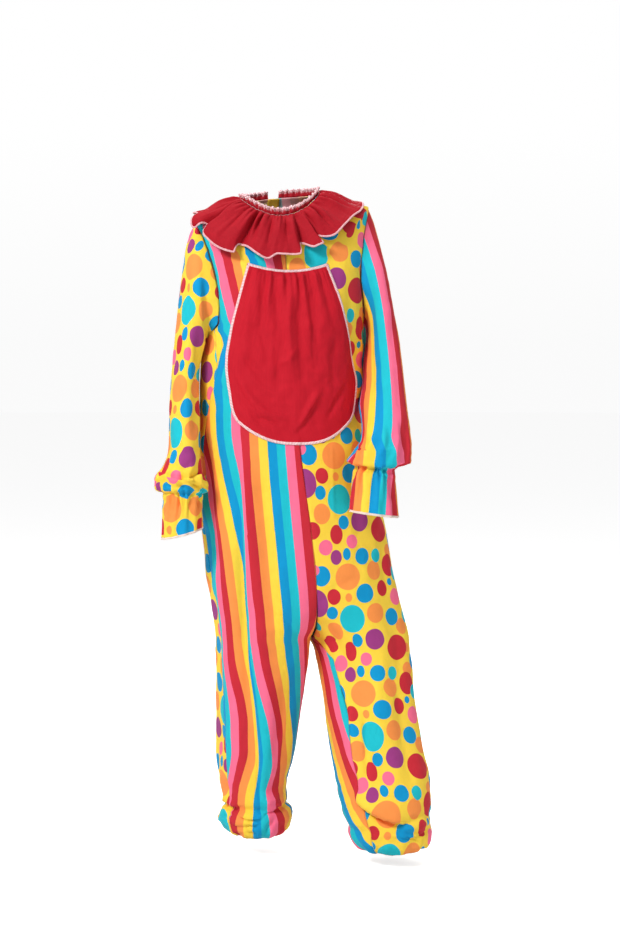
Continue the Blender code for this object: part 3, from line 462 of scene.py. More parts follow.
def sleeve_point(side, run, angle, rim):
    """Points of a sleeve's outer face: angle 0 is the top and outer side, 90 the front and 180 the seam under
    the arm. rim holds the armhole's own points at those angles."""
    rows = LEFT_SLEEVE if side > 0 else RIGHT_SLEEVE
    run, angle = np.broadcast_arrays(np.asarray(run, float), np.asarray(angle, float))
    value = {name: smooth(rows, name, run) for name in rows}
    a = np.radians(angle)
    elastic = hump(run - CUFF_RUN[side], CUFF_REACH)
    frill = np.clip((run - CUFF_RUN[side]) / FRILL_LONG, 0, 1)
    rise = (CUFF_WAVE * elastic + FRILL_WAVE * frill) * np.cos(CUFF_GATHERS * a + 0.7 * np.sin(2 * a))
    long_fold = sum(part * hump(angle - middle, reach) for middle, reach, part in SLEEVE_FOLDS)
    long_fold = long_fold * SLEEVE_FOLD_DEPTH
    rise = rise - long_fold * ease((run - 60) / 110) * ease((CUFF_RUN[side] - 90 - run) / 90)
    half_x, half_z = (value["outer_x"] - value["inner_x"]) / 2, (value["outer_z"] - value["inner_z"]) / 2
    along = (1 + rise / np.hypot(half_x, half_z)) * np.cos(a)
    x = (value["outer_x"] + value["inner_x"]) / 2 + half_x * along
    z = (value["outer_z"] + value["inner_z"]) / 2 + half_z * along
    y = value["y"] - (value["deep"] + rise) * np.sin(a)
    points = np.stack([side * x, y, z], axis=-1)
    first = each(rows)[0]
    share = (1 + np.cos(a)) / 2
    start_x = first["inner_x"] + (first["outer_x"] - first["inner_x"]) * share
    start_z = first["inner_z"] + (first["outer_z"] - first["inner_z"]) * share
    start = np.stack([side * start_x, first["y"] - first["deep"] * np.sin(a), start_z], axis=-1)
    return points + (rim - start) * value["fade"][..., None]


def armhole_rim(side, angles):
    """The armhole's own points at those angles, from the shoulder tip down the front and up the back."""
    run = TIP_RUN + (UNDERARM_RUN - TIP_RUN) * np.minimum(angles, 360 - angles) / 180
    fore, aft = side_angle(side, run, "fore"), side_angle(side, run, "aft")
    return body_point(side, run, np.where(angles <= 180, fore, aft))


def round_neck(turn):
    """(side, section angle) of a direction round the body: turn 0 is the front and 90 the wearer's left."""
    turn = (np.asarray(turn, float) + 180.0) % 360.0 - 180.0
    side = np.where(turn >= 0, 1, -1)
    return side, 90.0 - np.abs(turn)


def yoke_point(run, turn):
    side, angle = round_neck(turn)
    return by_side(side, body_point, np.broadcast_to(np.asarray(run, float), angle.shape), angle)


def yoke_normal(run, turn):
    ahead = yoke_point(run, turn + 1.0) - yoke_point(run, turn - 1.0)
    down = yoke_point(run + 1.0, turn) - yoke_point(np.maximum(run - 1.0, 0), turn)
    return unit(np.cross(down, ahead))


def wobble(x, seed):
    """A smooth uneven wave between about -1 and 1, to make gathers differ."""
    long, middle, short = np.sin(1.7 * x + seed), np.sin(2.9 * x + 2.1 * seed), np.sin(5.3 * x + 3.7 * seed)
    return 0.5 * (long + middle * 0.6 + short * 0.4)


def flounce_point(down, turn, fine=True):
    """Outer points of the flounce: down is 0 at the stitched line and 1 at the hem."""
    place = turn * (180.0 - RUFFLE_END - RUFFLE_END_SPREAD) / 180.0
    reach, wave, lean = (smooth(RUFFLE, name, place, key="turn") for name in ("reach", "lift", "lean"))
    turn = turn * (180.0 - RUFFLE_END - RUFFLE_END_SPREAD * down) / 180.0
    run = 2.0 + down * reach
    base, normal = yoke_point(run, turn), yoke_normal(run, turn)
    along = unit(yoke_point(run, turn + 1.0) - yoke_point(run, turn - 1.0))
    lift = RUFFLE_LIFT + RUFFLE_LOW * down**0.6 + RUFFLE_WAVE * down**0.8 * wave**0.75
    if fine:
        a = np.radians(place)
        first = hump(down, 0.24) * ease(down / 0.03)
        second = hump(down - 0.36, 0.34) * ease(down / 0.10)
        sharp = np.abs(np.sin(27 * a + 1.6 * wobble(5 * a, 1.0)))
        soft = np.abs(np.sin(15 * a + 1.5 * wobble(4 * a, 3.0)))
        lift = lift + 7.5 * first * (0.75 - 0.25 * wobble(9 * a, 6.0)) * sharp**0.8
        lift = lift + 15.0 * second * (0.8 + 0.2 * wobble(7 * a, 8.0)) * soft
        lift = lift + 2.0 * down**0.8 * wobble(15 * a + 1.5 * down, 2.0) * wave
    return base + normal * lift[..., None] + along * (lean * down**1.4)[..., None]


def heading_point(down, turn):
    """Outer points of the heading: down is 0 at its frilled top edge and 1 at the stitched line."""
    stitch = flounce_point(np.zeros(np.shape(turn)), turn, False)
    out = unit(stitch * np.array([1, 1, 0]))
    up = 1.0 - down
    a = np.radians(turn)
    gather = HEADING_GATHERS * a + 1.1 * wobble(6 * a, 2.0)
    wave = HEADING_WAVE * (0.35 + 0.85 * up) * (np.sin(gather) + 0.5 * up * wobble(40 * a, 5.0))
    rise = 0.3 + HEADING_HEIGHT * up + 1.8 * up * wobble(23 * a, 1.0) + 1.1 * up * np.sin(2 * gather)
    z = np.array([0.0, 0.0, 1.0])
    return stitch + out * (wave + 1.5 * up)[..., None] + z * rise[..., None]


FRONT_POINT_ROUNDS, FRONT_POINT_STEP = 22, 0.8


def run_at(z):
    """How far down the side line a height is, from the underarm to the crotch."""
    return UNDERARM_RUN + UNDERARM_Z - z


def front_point(x, z):
    """(side, run, angle) on the front of the body cloth, above the crotch, with that x and z."""
    run, angle = run_at(z), np.full(x.shape, 90.0)
    for _ in range(FRONT_POINT_ROUNDS):
        side = np.where(x >= smooth(TORSO, "middle", run), 1, -1)
        found = by_side(side, body_point, run, angle)
        wide = by_side(side, lambda of: smooth(SECTIONS[of], "wide", run))
        cosine = np.cos(np.radians(angle)) + (x - found[..., 0]) * side / wide
        run = run + FRONT_POINT_STEP * (found[..., 2] - z)
        angle = np.degrees(np.arccos(np.clip(cosine, -1, 1)))
    return side, run, angle


# ---------------------------------------------------------------- creases
# The creases are drawn on front and back elevations ruled in steps of 2.18 mm, with the neck seam at about
# (279, 207) on both. Each is a curve through three points. rise is its height (a trough if negative), left
# and right are its half widths in millimetres on either side, and tuck is the cloth that it takes up.
STEP, EYE_TURN, EYE_RISE, EYE_FAR = 2.18, math.radians(-10), math.radians(3.3), 4550.0
ELEVATION_MIDDLE, NECK_SEAM = np.array([310.0, 465.0]), np.array([279.0, 207.0])
EYE_OUT = np.array([
    math.sin(EYE_TURN) * math.cos(EYE_RISE),
    -math.cos(EYE_TURN) * math.cos(EYE_RISE),
    math.sin(EYE_RISE),
])
EYE_RIGHT = np.array([math.cos(EYE_TURN), math.sin(EYE_TURN), 0.0])
EYE_UP = np.cross(EYE_OUT, EYE_RIGHT)
EYE_AIM = EYE_RIGHT * 67.6 + np.array([0.0, 0.0, -562.0])  # what the middle of the front elevation shows
BEHIND = np.array([0.0, 1.0, 0.0])
CREASE_COLUMNS = "x0 y0 x1 y1 x2 y2 rise left right tuck"
LAP_COLUMNS = "x0 y0 x1 y1 x2 y2 out drop dip reach"
LAP_EDGE, TUCK_EDGE = 6.0, 6.0
LAP_ENDS, CREASE_ENDS, TUCK_ENDS = (0.25, 0.25), (0.3, 0.3), (0.5, 0.35)  # shares over which they ease in
ANYWHERE = 1e6


def elevation(points):
    """Where the front elevation shows those points."""
    away = points - (EYE_AIM + EYE_OUT * EYE_FAR)
    scale = EYE_FAR / STEP / -(away @ EYE_OUT)
    return ELEVATION_MIDDLE + np.stack([(away @ EYE_RIGHT) * scale, -(away @ EYE_UP) * scale], axis=-1)


def back_elevation(points):
    """Where the back elevation shows those points: x runs to the wearer's right."""
    return NECK_SEAM - points[..., ::2] / STEP


def toward(normals, way):
    """1 where cloth faces that way, and 0 where it faces off to the side or away."""
    return ease((normals @ way) / 0.35)


def line_of(row):
    """The smooth line through a row's three points."""
    t = np.linspace(0, 1, 25)[:, None]
    start, middle, end = (np.array([row[f"x{i}"], row[f"y{i}"]]) for i in range(3))
    return (1 - t) * (1 - 2 * t) * start + 4 * t * (1 - t) * middle + t * (2 * t - 1) * end


def around(curve, places, reach):
    """Which places lie in the line's box, made larger by the reach in millimetres."""
    low, high = curve.min(axis=0) - reach / STEP, curve.max(axis=0) + reach / STEP
    return np.all((places >= low) & (places <= high), axis=-1)


def beside(curve, spot):
    """For places near a line: how far to its right, in millimetres, how far along it, and the way across."""
    a, b = curve[:-1], curve[1:]
    way = b - a
    share = np.sum((spot[:, None] - a) * way, axis=-1) / np.sum(way * way, axis=-1)
    held = np.clip(share, 0, 1)
    gap = spot[:, None] - (a + held[..., None] * way)
    far = np.hypot(gap[..., 0], gap[..., 1])
    best = np.argmin(far, axis=1)
    pick = np.arange(len(spot))
    cross = way[best, 0] * gap[pick, best, 1] - way[best, 1] * gap[pick, best, 0]
    along = (best + held[pick, best]) / (len(curve) - 1)
    right = np.stack([-way[best, 1], way[best, 0]], axis=-1)
    return far[pick, best] * STEP * np.sign(cross), along, unit(right)


def laps(rows, points, normals):
    """How the cloth on the left of each line of a lap table stands out and hangs over that on its right."""
    places, facing = elevation(points), toward(normals, EYE_OUT)
    moved = np.zeros(points.shape)
    for row in each(rows):
        curve = line_of(row)
        near = around(curve, places, 2.5 * row["reach"])
        if not near.any():
            continue
        across, along, right = beside(curve, places[near])
        lip = ease(0.5 - across / LAP_EDGE)
        way = EYE_RIGHT * right[:, :1] - EYE_UP * right[:, 1:]
        out = lip * row["out"] * hump(across, row["reach"])
        out = out - (1 - lip) * row["dip"] * hump(across, LAP_EDGE)
        drop = lip * row["drop"] * hump(across, row["reach"])
        ends = (fade(along, *LAP_ENDS) * facing[near])[:, None]
        moved[near] += ends * (normals[near] * out[:, None] + way * drop[:, None])
    return moved


def creases(rows, places, facing):
    """(rise, tuck) of a crease table at those places on an elevation."""
    rise, tuck = np.zeros(places.shape[:-1]), np.zeros(places.shape[:-1])
    for row in each(rows):
        curve = line_of(row)
        reach = 3.2 * max(row["left"], row["right"])
        near = around(curve, places, np.array([ANYWHERE if row["tuck"] else reach, reach]))
        if not near.any():
            continue
        across, along, _ = beside(curve, places[near])
        wide = np.where(across > 0, row["left"], row["right"])
        rise[near] += row["rise"] * fade(along, *CREASE_ENDS) * hump(across, wide) * facing[near]
        beyond = np.clip(0.5 + 0.5 * across / TUCK_EDGE, 0, 1)
        tuck[near] += row["tuck"] * fade(along, *TUCK_ENDS) * beyond * facing[near]
    return rise, tuck


def crumple(points, size, amount, seed, stretch=(1.0, 1.0, 1.0)):
    """Small uneven wrinkles, in millimetres."""
    flat = points.reshape(-1, 3) / size * np.array(stretch) + seed
    value = [noise.noise(Vector(p)) - 0.6 * abs(noise.noise(Vector(p * 2.1 + 7.0))) for p in flat]
    return amount * np.array(value).reshape(points.shape[:-1])


FRONT_RIGHT_CREASES = table(
    CREASE_COLUMNS,
    (230, 334, 220, 372, 203, 412, 6, 7, 18, 0),
    (221, 268, 225, 300, 229, 334, 3, 9, 9, 0),
    (214, 300, 218, 330, 222, 352, -3, 7, 7, 0),
    (206, 425, 208, 470, 212, 520, -4, 10, 10, 0),
    (202, 455, 211, 520, 224, 612, -5, 8, 12, 13),
    (243, 430, 246, 560, 258, 790, 6, 7, 26, 33),
    (252, 640, 256, 720, 262, 860, -3, 6, 6, 20),
    (239, 470, 242, 560, 251, 760, -4, 9, 9, 0),
    (289, 660, 281, 735, 262, 806, 6, 7, 22, 15),
    (262, 455, 266, 540, 272, 660, -2.5, 16, 16, 0),
    (284, 460, 292, 560, 296, 650, -2, 14, 14, 0),
    (300, 640, 285, 620, 268, 616, -2.5, 8, 8, 0),
    (228, 640, 231, 700, 230, 770, 3, 14, 14, 0),
    (233, 833, 245, 832, 260, 832, -4, 4, 4, 0),
    (264, 835, 270, 826, 278, 819, -5, 5, 5, 0),
    (218, 820, 226, 815, 236, 816, -3, 4, 5, 0),
    (218, 803, 222, 818, 226, 832, 3, 6, 8, 0),
    (264, 806, 272, 800, 280, 803, 4, 5, 5, 0),
    (243, 832, 250, 822, 262, 812, -3, 4, 4, 0),
)
FRONT_LEFT_CREASES = table(
    CREASE_COLUMNS,
    (346, 270, 352, 340, 357, 420, -3, 11, 11, 0),
    (352, 300, 354, 350, 352, 420, -3, 8, 8, 0),
    (333, 436, 333, 480, 334, 530, 1.3, 3, 3, 0),
    (350, 446, 356, 500, 366, 570, -3, 14, 14, 0),
    (380, 520, 384, 560, 388, 610, -3, 8, 10, 0),
    (314, 608, 336, 590, 366, 572, -3, 9, 12, 0),
    (316, 622, 334, 640, 356, 690, -3, 8, 12, 0),
    (322, 640, 342, 700, 350, 790, 5, 8, 20, 0),
    (364, 700, 366, 750, 367, 792, -4, 6, 7, 9),
    (344, 690, 346, 710, 348, 740, -3, 5, 6, 7),
    (394, 660, 402, 720, 410, 790, -3, 12, 12, 0),
    (388, 640, 378, 700, 384, 770, 2, 16, 16, 0),
    (352, 784, 377, 810, 410, 820, 10, 5, 18, 0),
    (355, 797, 380, 819, 412, 828, -9, 6, 5, 0),
    (398, 826, 416, 829, 432, 818, 7, 5, 12, 0),
    (384, 812, 408, 821, 430, 808, -3, 5, 7, 0),
    (372, 838, 392, 836, 420, 838, 3, 4, 6, 0),
    (360, 818, 362, 834, 366, 850, 3, 5, 5, 0),
    (404, 832, 412, 838, 424, 842, -4, 4, 4, 0),
)
BACK_CREASES = table(
    CREASE_COLUMNS,
    (206, 300, 214, 350, 205, 410, 4, 8, 14, 0),
    (352, 300, 344, 352, 352, 410, 4, 14, 8, 0),
    (236, 330, 250, 390, 262, 440, -3, 12, 10, 0),
    (322, 326, 306, 392, 296, 446, -3, 10, 12, 0),
    (222, 470, 232, 560, 236, 680, -5, 12, 12, 0),
    (330, 470, 322, 560, 318, 680, -5, 12, 12, 0),
    (262, 600, 240, 640, 214, 654, 4, 7, 14, 0),
    (300, 604, 322, 640, 346, 650, 4, 14, 7, 0),
    (252, 570, 258, 620, 262, 660, -4, 9, 9, 0),
    (190, 640, 184, 720, 180, 800, -5, 12, 12, 0),
    (216, 660, 206, 730, 198, 800, 5, 8, 16, 0),
    (318, 680, 324, 740, 330, 800, -5, 10, 12, 0),
    (344, 660, 342, 730, 338, 790, 4, 14, 8, 0),
    (172, 812, 190, 822, 214, 818, -7, 6, 7, 0),
    (176, 826, 196, 832, 216, 830, 5, 5, 6, 0),
    (306, 800, 324, 810, 344, 806, -7, 6, 7, 0),
    (308, 818, 326, 824, 346, 818, 5, 5, 6, 0),
    (286, 460, 290, 500, 300, 540, -2.5, 9, 9, 0),
    (268, 470, 262, 510, 252, 545, -2.5, 9, 9, 0),
)
SLEEVE_RIGHT_CREASES = table(
    CREASE_COLUMNS,
    (199, 256, 201, 320, 205, 396, 6, 16, 6, 10),
    (206, 262, 208, 330, 211, 400, -5, 7, 8, 0),
    (186, 250, 187, 300, 184, 350, -3, 7, 8, 8),
    (192, 330, 190, 370, 188, 420, -3, 7, 7, 7),
    (178, 380, 180, 420, 176, 462, -4, 8, 8, 0),
    (202, 400, 196, 432, 190, 466, 4, 8, 8, 0),
    (171, 440, 186, 452, 202, 444, -4, 8, 8, 0),
    (157, 480, 180, 483, 208, 478, 6, 6, 7, 0),
    (162, 474, 178, 478, 198, 475, -5, 4, 4, 0),
    (160, 488, 178, 486, 200, 495, -6, 4, 4, 0),
    (186, 468, 196, 482, 206, 498, -4, 4, 4, 0),
    (170, 462, 178, 470, 186, 484, -4, 5, 5, 0),
    (196, 462, 190, 474, 184, 486, 4, 5, 5, 0),
    (182, 500, 178, 512, 176, 530, -2.5, 6, 6, 0),
    (196, 498, 198, 508, 200, 520, -2.5, 5, 6, 0),
    (168, 500, 166, 514, 165, 532, 2.5, 5, 6, 0),
)
SLEEVE_LEFT_CREASES = table(
    CREASE_COLUMNS,
    (372, 240, 376, 320, 384, 410, 4, 12, 16, 0),
    (370, 262, 372, 340, 368, 420, -4, 8, 9, 0),
    (388, 300, 396, 360, 402, 430, -4, 11, 11, 0),
    (356, 396, 361, 428, 366, 456, -6, 6, 8, 0),
    (372, 420, 370, 440, 374, 458, 4, 6, 6, 0),
    (384, 420, 389, 440, 381, 459, -5, 6, 6, 0),
    (399, 418, 403, 440, 396, 462, -4, 7, 6, 0),
    (348, 458, 376, 452, 404, 456, 6, 7, 9, 0),
    (347, 468, 376, 470, 402, 474, -7, 6, 5, 0),
    (356, 452, 362, 462, 372, 468, -4, 5, 5, 0),
    (362, 472, 360, 486, 356, 504, -3, 5, 6, 0),
    (374, 474, 373, 488, 372, 506, -3, 5, 6, 0),
    (386, 474, 390, 488, 392, 504, -3, 5, 6, 0),
    (380, 474, 382, 490, 383, 506, 2.5, 5, 5, 0),
)
PATCH_CREASES = table(
    CREASE_COLUMNS,
    (262, 278, 263, 320, 268, 372, -3, 6, 8, 0),
    (276, 278, 278, 330, 277, 400, -3.5, 6, 8, 0),
    (288, 280, 289, 330, 291, 380, 3, 7, 7, 0),
    (296, 282, 300, 340, 304, 392, -3.5, 7, 6, 0),
    (312, 280, 314, 330, 316, 380, -3, 7, 7, 0),
    (247, 280, 246, 330, 244, 370, 2, 8, 8, 0),
    (232, 358, 250, 398, 277, 424, 3, 5, 9, 0),
    (240, 350, 256, 372, 270, 390, -2.5, 6, 8, 0),
    (300, 344, 286, 360, 276, 362, 2, 5, 6, 0),
    (322, 384, 308, 410, 296, 436, 3.5, 6, 9, 0),
    (318, 400, 304, 424, 292, 438, -2.5, 5, 6, 0),
    (346, 382, 336, 402, 326, 420, -2.5, 5, 6, 0),
    (252, 418, 268, 420, 284, 426, -2, 4, 4, 0),
    (236, 392, 250, 412, 268, 430, -2, 5, 5, 0),
    (336, 330, 332, 366, 334, 396, -2, 8, 8, 0),
    (258, 404, 272, 414, 290, 418, 2, 4, 4, 0),
)
FRONT_RIGHT_LAPS = table(
    LAP_COLUMNS,
    (236, 813, 250, 818, 268, 816, 5, 7, 3, 14),
    (256, 817, 272, 809, 289, 799, 5, 6, 3, 10),
    (218, 796, 228, 803, 238, 807, 4, 5, 4, 8),
    (229, 824, 245, 825, 263, 823, 4, 5, 4, 7),
    (230, 834, 245, 833, 260, 832, 3, 4, 3, 6),
)
FRONT_LEFT_LAPS = table(
    LAP_COLUMNS,
    (354, 788, 376, 814, 424, 824, 6, 9, 6, 18),
    (396, 836, 414, 836, 430, 826, 3, 5, 3, 8),
)
SLEEVE_RIGHT_LAPS = table(
    LAP_COLUMNS,
    (214, 463, 186, 480, 150, 468, 7, 7, 9, 8),
    (148, 482, 178, 480, 218, 490, 5, 6, 7, 8),
    (192, 462, 186, 470, 172, 474, 3, 5, 3, 6),
)
SLEEVE_LEFT_LAPS = table(
    LAP_COLUMNS,
    (376, 452, 363, 455, 350, 451, 4.5, 6, 4, 8),
    (345, 462, 376, 465, 410, 466, 2, 6, 2, 8),
    (352, 436, 360, 447, 372, 450, 3, 5, 4, 7),
)


# ---------------------------------------------------------------- meshes
def link(name, data):
    """Adds an object to the scene."""
    thing = bpy.data.objects.new(name, data)
    bpy.context.scene.collection.objects.link(thing)
    return thing


def new_mesh(name, points, faces, materials, smooth_shade=True):
    """An object of those faces, with its points given in millimetres."""
    mesh = bpy.data.meshes.new(name)
    mesh.from_pydata((np.array(points).reshape(-1, 3) / METRE).tolist(), [], faces)
    for material in materials:
        mesh.materials.append(material)
    mesh.polygons.foreach_set("use_smooth", [smooth_shade] * len(mesh.polygons))
    return link(name, mesh)


def grid_normals(points, closed, outward):
    """Unit normals of a grid of points; outward is 1 or -1, the sign of across x down that points out."""
    if closed:
        across = np.roll(points, -1, axis=1) - np.roll(points, 1, axis=1)
    else:
        across = np.gradient(points, axis=1)
    return unit(np.cross(across, np.gradient(points, axis=0)) * outward)


def round_again(grid):
    """A closed grid with its first column once more at its end."""
    return np.concatenate([grid, grid[:, :1]], axis=1)


def lengths(points, axis):
    """Distances along a grid's rows (axis 1) or columns (axis 0), from 0."""
    step = np.linalg.norm(np.diff(points, axis=axis), axis=-1)
    pad = [(0, 0), (0, 0)]
    pad[axis] = (1, 0)
    return np.cumsum(np.pad(step, pad), axis=axis)


def grid_mesh(name, points, across, down, closed, outward, materials):
    """A mesh from a grid of points. across and down are its print's coordinates, in millimetres, one more a
    row than the points if it is closed."""
    rows, columns = points.shape[:2]
    r, c = np.meshgrid(np.arange(rows - 1), np.arange(columns if closed else columns - 1), indexing="ij")

    def corners(wide, after):
        above, below = r * wide, (r + 1) * wide
        quads = np.stack([above + c, below + c, below + after, above + after], axis=-1)
        return quads.reshape(-1, 4)[:, ::-outward]

    thing = new_mesh(name, points, corners(columns, (c + 1) % columns).tolist(), materials)
    marks = corners(across.shape[1], c + 1).ravel()
    uv = np.stack([across.ravel()[marks], down.ravel()[marks]], axis=-1) / METRE
    thing.data.uv_layers.new(name="print").data.foreach_set("uv", uv.astype(np.float32).ravel())
    return thing


def thicken(thing, thickness):
    """Gives cloth its thickness, with its last material on its wrong side."""
    wall = thing.modifiers.new("Cloth", "SOLIDIFY")
    wall.thickness, wall.offset = thickness / METRE, -1
    wall.use_even_offset = False
    wall.material_offset = wall.material_offset_rim = len(thing.data.materials) - 1


def path_lengths(path):
    """Distances along a path, from 0."""
    return lengths(path[:, None], 0)[:, 0]


def path_point(path, distance, at):
    return np.array([np.interp(at, distance, path[:, i]) for i in range(3)])


def tube(name, path, size, out, material, closed=False):
    """A flattened thread along a path: size is how wide it is along the cloth and how high along out."""
    wide, high = size
    if closed:
        way = unit(np.roll(path, -1, axis=0) - np.roll(path, 1, axis=0))
    else:
        way = unit(np.gradient(path, axis=0))
    out = unit(out - np.sum(out * way, axis=-1, keepdims=True) * way)
    beside_it = np.cross(way, out)
    a = np.arange(TUBE_SIDES) * 2 * math.pi / TUBE_SIDES
    ring = path[:, None] + beside_it[:, None] * (wide / 2 * np.cos(a))[:, None]
    ring = ring + out[:, None] * (high / 2 * np.sin(a))[:, None]
    down = np.repeat(path_lengths(path)[:, None], TUBE_SIDES + 1, axis=1)
    across = np.repeat((np.arange(TUBE_SIDES + 1) * wide / TUBE_SIDES)[None], len(path), axis=0)
    return grid_mesh(name, ring, across, down, True, -1, [material])


def stitches(name, path, out, material):
    """A row of stitches along a path, each a small pointed thread."""
    distance, pitch = path_lengths(path), STITCH_LENGTH + STITCH_GAP
    points, faces = [], []
    for k in range(int(distance[-1] / pitch)):
        middle = (k + 0.5) * pitch
        start, end = (path_point(path, distance, middle + s * STITCH_LENGTH / 2) for s in (-1, 1))
        up = unit(path_point(out, distance, middle))
        way = end - start
        side = unit(np.cross(way, up))
        base = len(points)
        for at, fat in STITCH:
            for j in range(STITCH_SIDES):
                a = j * 2 * math.pi / STITCH_SIDES
                spoke = side * math.cos(a) + up * math.sin(a)
                points.append((start + end) / 2 + way * at + spoke * STITCH_THICKNESS / 2 * fat)
        for ring in range(base, len(points) - STITCH_SIDES, STITCH_SIDES):
            for j in range(STITCH_SIDES):
                a, b = ring + j, ring + (j + 1) % STITCH_SIDES
                faces.append((a, b, b + STITCH_SIDES, a + STITCH_SIDES))
        faces.append(tuple(range(base, base + STITCH_SIDES))[::-1])
        faces.append(tuple(range(len(points) - STITCH_SIDES, len(points))))
    return new_mesh(name, points, faces, [material])


def dress(thing, slot, *nodes):
    """Puts a piece on the garment, in place of those CAD nodes."""
    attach(thing, GARMENT)
    if nodes:
        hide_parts(*nodes)


# ---------------------------------------------------------------- materials
class Graph:
    """The nodes of a material or a world, added one line at a time."""

    def __init__(self, name, kind="materials", shader="Principled BSDF"):
        self.owner = getattr(bpy.data, kind).new(name)
        self.owner.use_nodes = True
        self.tree = self.owner.node_tree
        self.shader = self.tree.nodes[shader]

    def put(self, made, inputs):
        """Links or sets a node's inputs."""
        for key, value in inputs.items():
            if isinstance(value, bpy.types.NodeSocket):
                self.tree.links.new(value, made.inputs[key])
            else:
                made.inputs[key].default_value = value

    def node(self, kind, inputs=(), **settings):
        made = self.tree.nodes.new("ShaderNode" + kind)
        for key, value in settings.items():
            setattr(made, key, value)
        self.put(made, dict(inputs))
        return made

    def math(self, operation, a, b=0.0, c=0.0, clamp=False):
        return self.node("Math", {0: a, 1: b, 2: c}, operation=operation, use_clamp=clamp).outputs[0]

    def vector(self, operation, a, b=(0, 0, 0), c=(0, 0, 0)):
        made = self.node("VectorMath", {0: a, 1: b, 2: c}, operation=operation)
        return made.outputs["Value" if operation == "LENGTH" else "Vector"]

    def mix(self, share, a, b, blend="MIX"):
        return self.node("Mix", {0: share, 6: a, 7: b}, data_type="RGBA", blend_type=blend).outputs[2]

    def noise(self, vector, scale, detail=2.0, rough=0.5):
        made = self.node("TexNoise", {"Vector": vector, "Scale": scale, "Detail": detail, "Roughness": rough})
        return made.outputs["Fac"]

    def parts(self, vector):
        return self.node("SeparateXYZ", {0: vector}).outputs

    def finish(self, colour, rough, bump=(), more=()):
        """Sets the shader's inputs; bump is (height, strength, distance). Returns the material."""
        self.put(self.shader, {"Base Color": colour, "Roughness": rough, **dict(more)})
        if bump:
            made = self.node("Bump", dict(zip(("Height", "Strength", "Distance"), bump)))
            self.put(self.shader, {"Normal": made.outputs[0]})
        return self.owner


def linear(r, g, b):
    """A colour given as display values from 0 to 255."""
    parts = [c / 255 for c in (r, g, b)]
    return (*[c / 12.92 if c < 0.04045 else ((c + 0.055) / 1.055) ** 2.4 for c in parts], 1.0)


WHITE = (1.0, 1.0, 1.0, 1.0)
YELLOW, BLUE, TEAL = linear(250, 211, 66), linear(0, 148, 204), linear(24, 188, 202)
PINK, RED, ORANGE = linear(250, 110, 146), linear(200, 40, 54), linear(250, 148, 72)
PURPLE = linear(156, 58, 128)
STRIPES = (RED, PINK, TEAL, BLUE, YELLOW, ORANGE)
STRIPE_WIDTH = 19.3

# One repeat of the spotted print, charted: each spot's place across and down, its half width and half
# height in millimetres, and its colour.
SPOT_REPEAT_WIDE, SPOT_REPEAT_HIGH = 236.0, 261.0
SPOTS = (
    (0, 0, 27, 29, ORANGE), (64, -4, 19, 21, ORANGE), (-57, -9, 19, 22, BLUE), (112, -8, 20, 25, RED),
    (-34, 39, 14, 17, RED), (-3, 45, 7.5, 9.5, ORANGE), (34, 42, 20, 21, BLUE), (80, 38, 15, 18, RED),
    (-74, 50, 26, 32, PURPLE), (118, 62, 18, 19, PINK), (-42, 74, 12, 15, BLUE), (-1, 94, 27, 32, TEAL),
    (53, 89, 21, 22, ORANGE), (96, 104, 18, 19, BLUE), (-44, 119, 18, 22, ORANGE), (2, 144, 12, 15, BLUE),
    (42, 146, 22, 23, PURPLE), (-68, 152, 17, 19, RED), (-17, 167, 14, 21, RED), (-43, 192, 15, 17, PINK),
    (17, 187, 13, 15, PINK), (97, 172, 28, 28, RED), (-22, 216, 12, 16, PURPLE), (2, 212, 9, 13, BLUE),
    (38, 222, 17, 18, BLUE), (75, 226, 13, 15, TEAL), (122, 128, 17, 18, ORANGE), (-92, 108, 13, 15, TEAL),
    (-88, 206, 18, 20, BLUE), (-104, 12, 13, 16, TEAL), (120, 222, 14, 15, ORANGE), (-72, 238, 11, 12, PINK),
    (106, 28, 7, 8, BLUE), (-110, 176, 9, 10, ORANGE),
)


def print_place(graph):
    return graph.node("UVMap", uv_map="print").outputs[0]


def weave(graph, mark, tint, rough=0.7, sheen=0.0, strength=0.25, pitch=0.45, gloss=0.2):
    """Finishes a cloth: its colour with uneven dye, its plain weave and its small crumples."""
    parts, turns = graph.parts(mark), 2 * math.pi / (pitch / METRE)
    warp, weft = (graph.math("SINE", graph.math("MULTIPLY", parts[k], turns)) for k in (0, 1))
    cloud = graph.noise(mark, 38.0, 4.0, 0.6)
    slub = graph.noise(graph.vector("MULTIPLY", mark, (900.0, 60.0, 1.0)), 1.0, 2.0)
    shade = graph.math("MULTIPLY_ADD", cloud, 0.16, 0.92)
    shade = graph.math("MULTIPLY_ADD", graph.math("SUBTRACT", slub, 0.5), 0.10, shade)
    grey = graph.node("CombineColor", {0: shade, 1: shade, 2: shade}).outputs[0]
    colour = graph.mix(1.0, tint, grey, "MULTIPLY")
    ripple = graph.noise(mark, 90.0, 3.0, 0.55)
    thread = graph.math("MULTIPLY", warp, weft)
    height = graph.math("MULTIPLY_ADD", thread, 0.12, graph.math("MULTIPLY", slub, 0.25))
    height = graph.math("MULTIPLY_ADD", ripple, 1.6, height)
    more = {"Sheen Weight": sheen, "Sheen Roughness": 0.5, "Specular IOR Level": gloss}
    return graph.finish(colour, rough, (height, strength, 0.0008), more)


def printed(graph, mark, colour, wrong_side):
    """Finishes a printed cloth, which is paler on its wrong side."""
    if wrong_side:
        colour = graph.mix(0.45, colour, linear(240, 232, 224))
    return weave(graph, mark, colour, rough=0.78, sheen=0.04)


